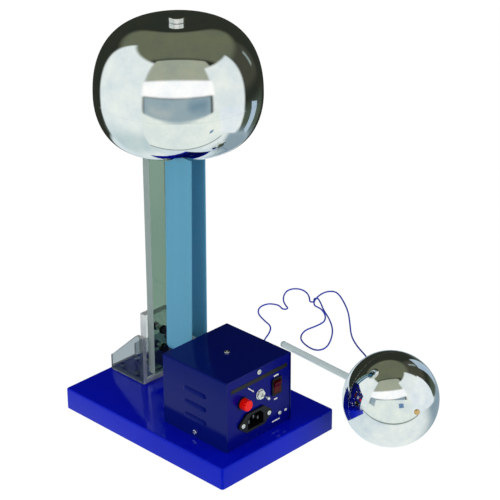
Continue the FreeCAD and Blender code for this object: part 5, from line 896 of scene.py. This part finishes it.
class GENERATOR_OT_wand(bpy.types.Operator):
    """Two half balls, the brass screw, the ferrule and the clear handle"""

    bl_idname = "generator.wand"
    bl_label = "Wand"

    def execute(self, context):
        own = context.scene.generator_wand
        centre = Vector((own.ball_x, own.ball_y, own.ball_radius))
        axis = (Vector((own.tip_x, own.tip_y, own.tip_z)) - centre).normalized()
        start = math.asin(own.ball_hole / own.ball_radius)
        arc = []
        for index in range(BALL_STEPS + 1):
            turn = start + (math.pi / 2 - start) * index / BALL_STEPS
            arc.append((own.ball_radius * math.sin(turn), own.ball_radius * math.cos(turn)))
        for node, name, direction in (("ball_front_shell", "ball_front_mirror", -axis),
                                      ("ball_rear_shell", "ball_rear_mirror", axis)):
            bm = bmesh.new()
            turned(bm, arc, centre, direction, steps=128)
            half = new_piece(name, bm, "wand", "ball_steel", [node], crease=60)
            thicken(half, own.ball_wall)
            ease_edges(half, 0.08, sharper_than=60)
        eased_copy("wand_rod", "rod_acrylic", 0.3)
        eased_copy("wand_collar", "nickel", 0.2)
        eased_copy("wand_bolt", "brass", 0.15)
        return {"FINISHED"}


# ---------------------------------------------------------------- lead
LEAD_ON_TABLE = 1.1      # height of the lead's middle where it lies on the table, in mm
# The lead's way in mm from the plug to the ferrule: X, Y and, off the table, the height.
LEAD_ROUTE = [
    (116, 35, 14), (130, 35, 14), (148, 43, 6), (168, 60, 1.6), (186, 75), (203, 82), (218, 93),
    (223, 110), (231, 129), (245, 140), (260, 139), (266, 128), (264.4, 120.8), (262, 116.2),
    (262.6, 112.6), (265.8, 110.7), (269.1, 112.7), (270.9, 117), (273.9, 122.6), (281, 132),
    (293, 141.5), (305.5, 146.5), (315, 143), (319.2, 134.4), (316.9, 123.7), (311.4, 114.9),
    (306.2, 109), (302, 105.2), (301, 102.2), (302.8, 99.9), (305.8, 100.6), (308.3, 103.4),
    (311.2, 105.2), (313.9, 104), (314, 101), (311.4, 96.9), (305.8, 88.6), (298.4, 79.2),
    (290.2, 66.8), (283, 54.6), (266, 33), (244, 16), (222, 5), (209, 10), (210.5, 28), (219, 46),
    (238, 56), (256, 53), (270.9, 52.9), (278.4, 56.8, 1.8), (284.1, 62.4, 3), (288.8, 69.9, 3.8),
    (291.9, 77.6, 4), (291.9, 83.5, 4), (293.1, 89.2, 4), (298.6, 94.7, 4), (306.5, 99.3, 4),
    (316.2, 103.1, 3.4), (328.1, 106.4, 2.2), (338.8, 106.2), (344.6, 99.5), (340.5, 88), (331, 73),
    (314, 50), (291, 27), (268, 5), (253, -17), (241, -43), (225, -71), (209, -96), (197, -115, 3),
    (186, -130, 13), (173, -139, 27), (155.8, -137.9, 41.6), (143.4, -133.9, 41.6),
]


class GENERATOR_OT_lead(bpy.types.Operator):
    """Loose lead on the table, its plug and the socket in the base"""

    bl_idname = "generator.lead"
    bl_label = "Lead"

    def execute(self, context):
        own = context.scene.generator_lead
        curve = bpy.data.curves.new("lead_route", "CURVE")
        curve.dimensions = "3D"
        curve.resolution_u = 6
        spline = curve.splines.new("NURBS")
        spline.points.add(len(LEAD_ROUTE) - 1)
        for point, (x, y, *height) in zip(spline.points, LEAD_ROUTE):
            point.co = (x * MM, y * MM, (height or [LEAD_ON_TABLE])[0] * MM, 1)
        spline.order_u = 3
        spline.use_endpoint_u = True
        route = new_object("lead_route", curve)
        bpy.context.view_layer.update()
        line = bpy.data.meshes.new_from_object(route)
        bpy.data.meshes.remove(line)
        curve.bevel_depth = own.diameter / 2
        curve.bevel_resolution = 3
        curve.use_fill_caps = True
        bpy.context.view_layer.update()
        tube = bpy.data.meshes.new_from_object(route.evaluated_get(bpy.context.evaluated_depsgraph_get()))
        bpy.data.objects.remove(route)
        bm = bmesh.new()
        bm.from_mesh(tube)
        bpy.data.meshes.remove(tube)
        bmesh.ops.remove_doubles(bm, verts=bm.verts, dist=WELD)
        bmesh.ops.recalc_face_normals(bm, faces=list(bm.faces))
        lead = new_piece("lead_vinyl", bm, None, "vinyl", ["lead_wire"], crease=60)
        plug = eased_copy("lead_plug", "black_plastic", 0.3)
        eased_copy("base_socket", "black_plastic", 0.3)
        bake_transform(lead)
        return {"FINISHED"}


# ---------------------------------------------------------------- stage
# The light tent as the dome sees it, in degrees: middle and half width round the camera's side, middle
# and half height above the dome's horizon, soft edge, colour, whether the edges are level boards in front
# (their height is then the slope toward the camera), and a further band of heights that it fades to.
ALL_ROUND = (0, 400)
TENT_BACK = "2B2F28"
TENT = [
    (ALL_ROUND, (142.5, 100), 35, "23251B", False),
    (ALL_ROUND, (-138.5, 100), 5, "D2DEE2", False),
    ((113, 19), (18, 24), 10, "43443A", False),
    ((122, 2), (12, 8), 3, "8D9A96", False),
    ((118, 26), (-27, 9), 10, "4B5549", False),
    (ALL_ROUND, (106, 38), 8, "656A56", True, (132, 100, 12)),
    ((5, 50), (47, 19), 5, "A0A593", True),
    ((8, 62), (66.5, 1.0), 2, "444B3E", True),
    ((69, 25), (-10, 51), 5, "E2E9E8", False),
    ((-83, 38), (-14, 66), 6, "E2EAE9", False),
    ((-80, 42), (-50, 15), 22, "BECFD1", False),
    ((0, 47), (17, 12), 5, "FFFFFF", True),
    ((-1, 42), (-8, 12), 4, "93A7AF", True),
    ((25, 12), (-6, 6), 14, "76909F", True),
    ((-22, 14), (-12, 4), 13, "A9B4B6", True),
    ((6, 54), (-40, 21.5), 3, "E1E9E4", True),
    ((8, 55), (-61.5, 0.8), 1.5, "6C7A70", True),
    ((114, 40), (-50, 14), 14, "879BA6", False),
]
TENT_RADIUS = 0.85
TENT_MIDDLE = Vector((0, 0.0215, 0.388))
TENT_GLOW = 1.15
TENT_TURN = 134          # degrees about Z that turn the camera's side to +X
TOWARD_CAMERA = Vector((-0.695, -0.719, 0))
CAMERA_RIGHT = Vector((0.719, -0.695, 0))

# Cards beside the ball that only the mirrors see: name, colour, metres toward the camera and to its
# right, height of the middle, width and height, turn in degrees.
CARDS = [
    ("ball_front_card", "E1E9E4", 0.305, 0.21, 0.091, (0.44, 0.18), 0),
    ("ball_side_card", "E4EBEE", 0.18, 0.47, 0.141, (0.36, 0.28), 90),
    ("ball_streak_card", "A8BCCC", -0.212, 0.437, 0.121, (0.13, 0.24), 140),
    ("ball_blue_card", "6A86AC", 0.303, 0.285, 0.118, (0.05, 0.045), 0),
]

# Lamps: name, setting of its power, width and height, place, in metres.
LAMPS = [
    ("left_window", "side_lamps", (1.6, 0.9), (-2.0, 0.3, 0.45)),
    ("front_window", "side_lamps", (1.6, 0.9), (0.5, -2.1, 0.45)),
    ("top_light", "top_lamp", (1.5, 1.5), (0, 0, 2.2)),
]
LAMP_AIM = Vector((0, 0, 0.1))

TABLE_RADIUS = 8
TABLE_PAINT = (0.8, 0.8, 0.8)
TABLE_WHITE = (0.97, 0.97, 0.97)  # what the camera sees of the table, before its glow
TABLE_GLOW_SHARE = 0.87           # how much of that is glow; the rest takes the shadow
SENSOR_MM = 36


def tent_colours(tree):
    """Olive roof, dark behind, pale boards at the sides and in front, a grey-blue gap between."""
    place = add(tree, "ShaderNodeTexCoord").outputs["Object"]
    from_dome = add(tree, "ShaderNodeVectorMath", {0: place, 1: TENT_MIDDLE}, operation="SUBTRACT")
    faced = add(tree, "ShaderNodeVectorRotate", {"Vector": from_dome.outputs[0],
                                                 "Angle": math.radians(TENT_TURN)}, rotation_type="Z_AXIS")
    unit = add(tree, "ShaderNodeVectorMath", {0: faced.outputs[0]}, operation="NORMALIZE")
    ahead, right, up = add(tree, "ShaderNodeSeparateXYZ", {0: unit.outputs[0]}).outputs

    def degrees(operation, *sides):
        """Angle from an arc function of one or two sides."""
        turn = add(tree, "ShaderNodeMath", dict(enumerate(sides)), operation=operation)
        return add(tree, "ShaderNodeMath", {0: turn.outputs[0]}, operation="DEGREES").outputs[0]

    def within(value, middle, half, soft):
        """1 inside a band of angles, 0 outside, with a soft edge."""
        offset = add(tree, "ShaderNodeMath", {0: value, 1: middle}, operation="SUBTRACT")
        distance = add(tree, "ShaderNodeMath", {0: offset.outputs[0]}, operation="ABSOLUTE")
        return add(tree, "ShaderNodeMapRange",
                   {"Value": distance.outputs[0], "From Min": half - soft / 2, "From Max": half + soft / 2,
                    "To Min": 1, "To Max": 0}, interpolation_type="SMOOTHSTEP").outputs[0]

    yaw, slope, rise = degrees("ARCTAN2", right, ahead), degrees("ARCTAN2", up, ahead), degrees("ARCSINE", up)
    seen = linear(TENT_BACK)
    for across, height, soft, hex_colour, level, *fades in TENT:
        bands = [within(yaw, *across, soft), within(slope if level else rise, *height, soft)]
        bands += [within(rise, *fade) for fade in fades]
        share = bands[0]
        for band in bands[1:]:
            share = add(tree, "ShaderNodeMath", {0: share, 1: band}, operation="MULTIPLY").outputs[0]
        seen = add(tree, "ShaderNodeMix", {0: share, 6: seen, 7: linear(hex_colour)},
                   data_type="RGBA").outputs[2]
    return seen


def bare_material(name):
    """A new material without its shader, and its node tree."""
    material = bpy.data.materials.new(name)
    material.use_nodes = True
    material.node_tree.nodes.clear()
    return material, material.node_tree


def glow_material(name, hex_colour=None):
    """Evenly glowing card, or the tent's cloth where no colour is given, that only the mirrors see."""
    material, tree = bare_material(name)
    seen = linear(hex_colour) if hex_colour else tent_colours(tree)
    glow = add(tree, "ShaderNodeEmission", {"Color": seen, "Strength": TENT_GLOW})
    add(tree, "ShaderNodeOutputMaterial", {"Surface": glow.outputs[0]})
    return material


def floor_material():
    """Pale table that stays white in the background and keeps the object's shadow."""
    material, tree = bare_material("table_white_matt")
    matt = add(tree, "ShaderNodeBsdfDiffuse", {"Color": TABLE_PAINT})
    path = add(tree, "ShaderNodeLightPath")
    through = path.outputs["Is Transmission Ray"]
    mirrored = add(tree, "ShaderNodeMath", {0: path.outputs["Is Glossy Ray"], 1: through},
                   operation="SUBTRACT", use_clamp=True).outputs[0]
    tint = add(tree, "ShaderNodeMix", {0: mirrored, 6: TABLE_WHITE, 7: tent_colours(tree)},
               data_type="RGBA").outputs[2]
    glow = add(tree, "ShaderNodeEmission", {"Color": tint, "Strength": TENT_GLOW})
    seen = add(tree, "ShaderNodeMath", {0: path.outputs["Is Camera Ray"], 1: through},
               operation="MAXIMUM").outputs[0]
    share = add(tree, "ShaderNodeMath", {0: seen, 1: TABLE_GLOW_SHARE}, operation="MULTIPLY").outputs[0]
    share = add(tree, "ShaderNodeMath", {0: share, 1: mirrored}, operation="MAXIMUM").outputs[0]
    both = add(tree, "ShaderNodeMixShader", {0: share, 1: matt.outputs[0], 2: glow.outputs[0]})
    add(tree, "ShaderNodeOutputMaterial", {"Surface": both.outputs[0]})
    return material


def stage_piece(name, bm, material, mirrors_only=False):
    """Turns a bmesh into part of the stage; a thing for the mirrors only lights nothing."""
    thing = mesh_object(name, bm, material)
    for kind in ("camera", "diffuse", "transmission", "shadow"):
        setattr(thing, "visible_" + kind, not mirrors_only)


def area_lamp(name, power, size, place):
    """Soft rectangular lamp that the mirrors don't show, aimed at the middle of the object's foot."""
    lamp = bpy.data.lights.new(name, "AREA")
    lamp.shape = "RECTANGLE"
    lamp.energy = power
    lamp.size, lamp.size_y = size
    holder = new_object(name, lamp)
    holder.location = place
    holder.rotation_euler = (LAMP_AIM - Vector(place)).to_track_quat("-Z", "Y").to_euler()
    holder.visible_glossy = False
    holder.visible_transmission = False


def build_world(ambient):
    """White background for the camera, mirrors and clear plates; plain soft light for the rest."""
    world = bpy.data.worlds.new("studio_world")
    bpy.context.scene.world = world
    world.use_nodes = True
    tree = world.node_tree
    tree.nodes.clear()
    path = add(tree, "ShaderNodeLightPath")
    seen = add(tree, "ShaderNodeMath", {0: path.outputs["Is Camera Ray"], 1: path.outputs["Is Glossy Ray"]},
               operation="MAXIMUM").outputs[0]
    seen = add(tree, "ShaderNodeMath", {0: seen, 1: path.outputs["Is Transmission Ray"]},
               operation="MAXIMUM").outputs[0]
    soft = add(tree, "ShaderNodeBackground", {"Color": (1, 1, 1), "Strength": ambient})
    white = add(tree, "ShaderNodeBackground", {"Color": (1, 1, 1), "Strength": 1.0})
    both = add(tree, "ShaderNodeMixShader", {0: seen, 1: soft.outputs[0], 2: white.outputs[0]})
    add(tree, "ShaderNodeOutputWorld", {"Surface": both.outputs[0]})


def build_camera(own):
    """Camera with a long lens, a little above the object."""
    level = Vector((math.cos(own.azimuth), math.sin(own.azimuth), 0))
    forward = Vector((-math.sin(own.azimuth) * math.cos(own.elevation),
                      math.cos(own.azimuth) * math.cos(own.elevation), -math.sin(own.elevation)))
    upward = level.cross(forward)
    right = level * math.cos(own.roll) + upward * math.sin(own.roll)
    up = upward * math.cos(own.roll) - level * math.sin(own.roll)
    data = bpy.data.cameras.new("studio_camera")
    data.lens = own.lens
    data.sensor_width = SENSOR_MM
    data.clip_start = 0.05
    data.clip_end = 50
    camera = new_object("studio_camera", data)
    turn = Matrix((right, up, -forward)).transposed().to_4x4()
    camera.matrix_world = Matrix.Translation(Vector(own.target) - forward * own.distance) @ turn
    bpy.context.scene.camera = camera


class GENERATOR_OT_stage(bpy.types.Operator):
    """Table, surroundings, lamps, world and camera"""

    bl_idname = "generator.stage"
    bl_label = "Stage"

    def execute(self, context):
        scene = context.scene
        scene.view_settings.view_transform = "Standard"
        bm = bmesh.new()
        bmesh.ops.create_circle(bm, cap_ends=True, segments=96, radius=TABLE_RADIUS)
        stage_piece("table_top", bm, floor_material())
        bm = bmesh.new()
        bmesh.ops.create_uvsphere(bm, u_segments=96, v_segments=48, radius=TENT_RADIUS)
        bmesh.ops.translate(bm, vec=TENT_MIDDLE, verts=bm.verts)
        bmesh.ops.reverse_faces(bm, faces=list(bm.faces))
        stage_piece("light_tent", bm, glow_material("light_tent_cloth"), True)
        stand = Matrix.Rotation(math.pi / 2, 3, "X")
        for name, hex_colour, ahead, across, lift, (width, height), turn in CARDS:
            bm = bmesh.new()
            bmesh.ops.create_grid(bm, x_segments=1, y_segments=1, size=0.5)
            bmesh.ops.scale(bm, vec=(width, height, 1), verts=bm.verts)
            faced = Matrix.Rotation(math.radians(90 - TENT_TURN + turn), 3, "Z")
            bmesh.ops.rotate(bm, verts=bm.verts, cent=(0, 0, 0), matrix=faced @ stand)
            place = TOWARD_CAMERA * ahead + CAMERA_RIGHT * across + Z_AXIS * lift
            bmesh.ops.translate(bm, vec=place, verts=bm.verts)
            stage_piece(name, bm, glow_material(name, hex_colour), True)
        light = scene.generator_light
        for name, power, size, place in LAMPS:
            area_lamp(name, getattr(light, power), size, place)
        build_world(light.ambient)
        build_camera(scene.generator_camera)
        return {"FINISHED"}


# ---------------------------------------------------------------- add-on
OPERATORS = [
    GENERATOR_OT_stage, GENERATOR_OT_base, GENERATOR_OT_cover, GENERATOR_OT_box, GENERATOR_OT_fittings,
    GENERATOR_OT_power, GENERATOR_OT_drive, GENERATOR_OT_belt, GENERATOR_OT_column, GENERATOR_OT_dome,
    GENERATOR_OT_knob, GENERATOR_OT_wand, GENERATOR_OT_lead,
]


class GENERATOR_PT_panel(bpy.types.Panel):
    """Lists the generator's pieces and sizes in the sidebar"""

    bl_idname = "GENERATOR_PT_panel"
    bl_label = "Generator"
    bl_space_type = "VIEW_3D"
    bl_region_type = "UI"
    bl_category = "Generator"

    def draw(self, context):
        for operator in OPERATORS:
            self.layout.operator(operator.bl_idname)
        for name, group in SETTINGS.items():
            box = self.layout.box()
            for key in group.__annotations__:
                box.prop(getattr(context.scene, name), key)


def register():
    for cls in [*SETTINGS.values(), *OPERATORS, GENERATOR_PT_panel]:
        bpy.utils.register_class(cls)
    for name, group in SETTINGS.items():
        setattr(bpy.types.Scene, name, bpy.props.PointerProperty(type=group))


def unregister():
    for name in SETTINGS:
        delattr(bpy.types.Scene, name)
    for cls in [GENERATOR_PT_panel, *reversed(OPERATORS), *SETTINGS.values()]:
        bpy.utils.unregister_class(cls)


def main():
    register()
    bpy.ops.generator.stage()
    bpy.ops.generator.base()
    bpy.ops.generator.cover()
    bpy.ops.generator.box()
    bpy.ops.generator.fittings()
    bpy.ops.generator.power()
    bpy.ops.generator.drive()
    bpy.ops.generator.belt()
    bpy.ops.generator.column()
    bpy.ops.generator.dome()
    bpy.ops.generator.knob()
    bpy.ops.generator.wand()
    bpy.ops.generator.lead()


if __name__ == "__main__":
    main()
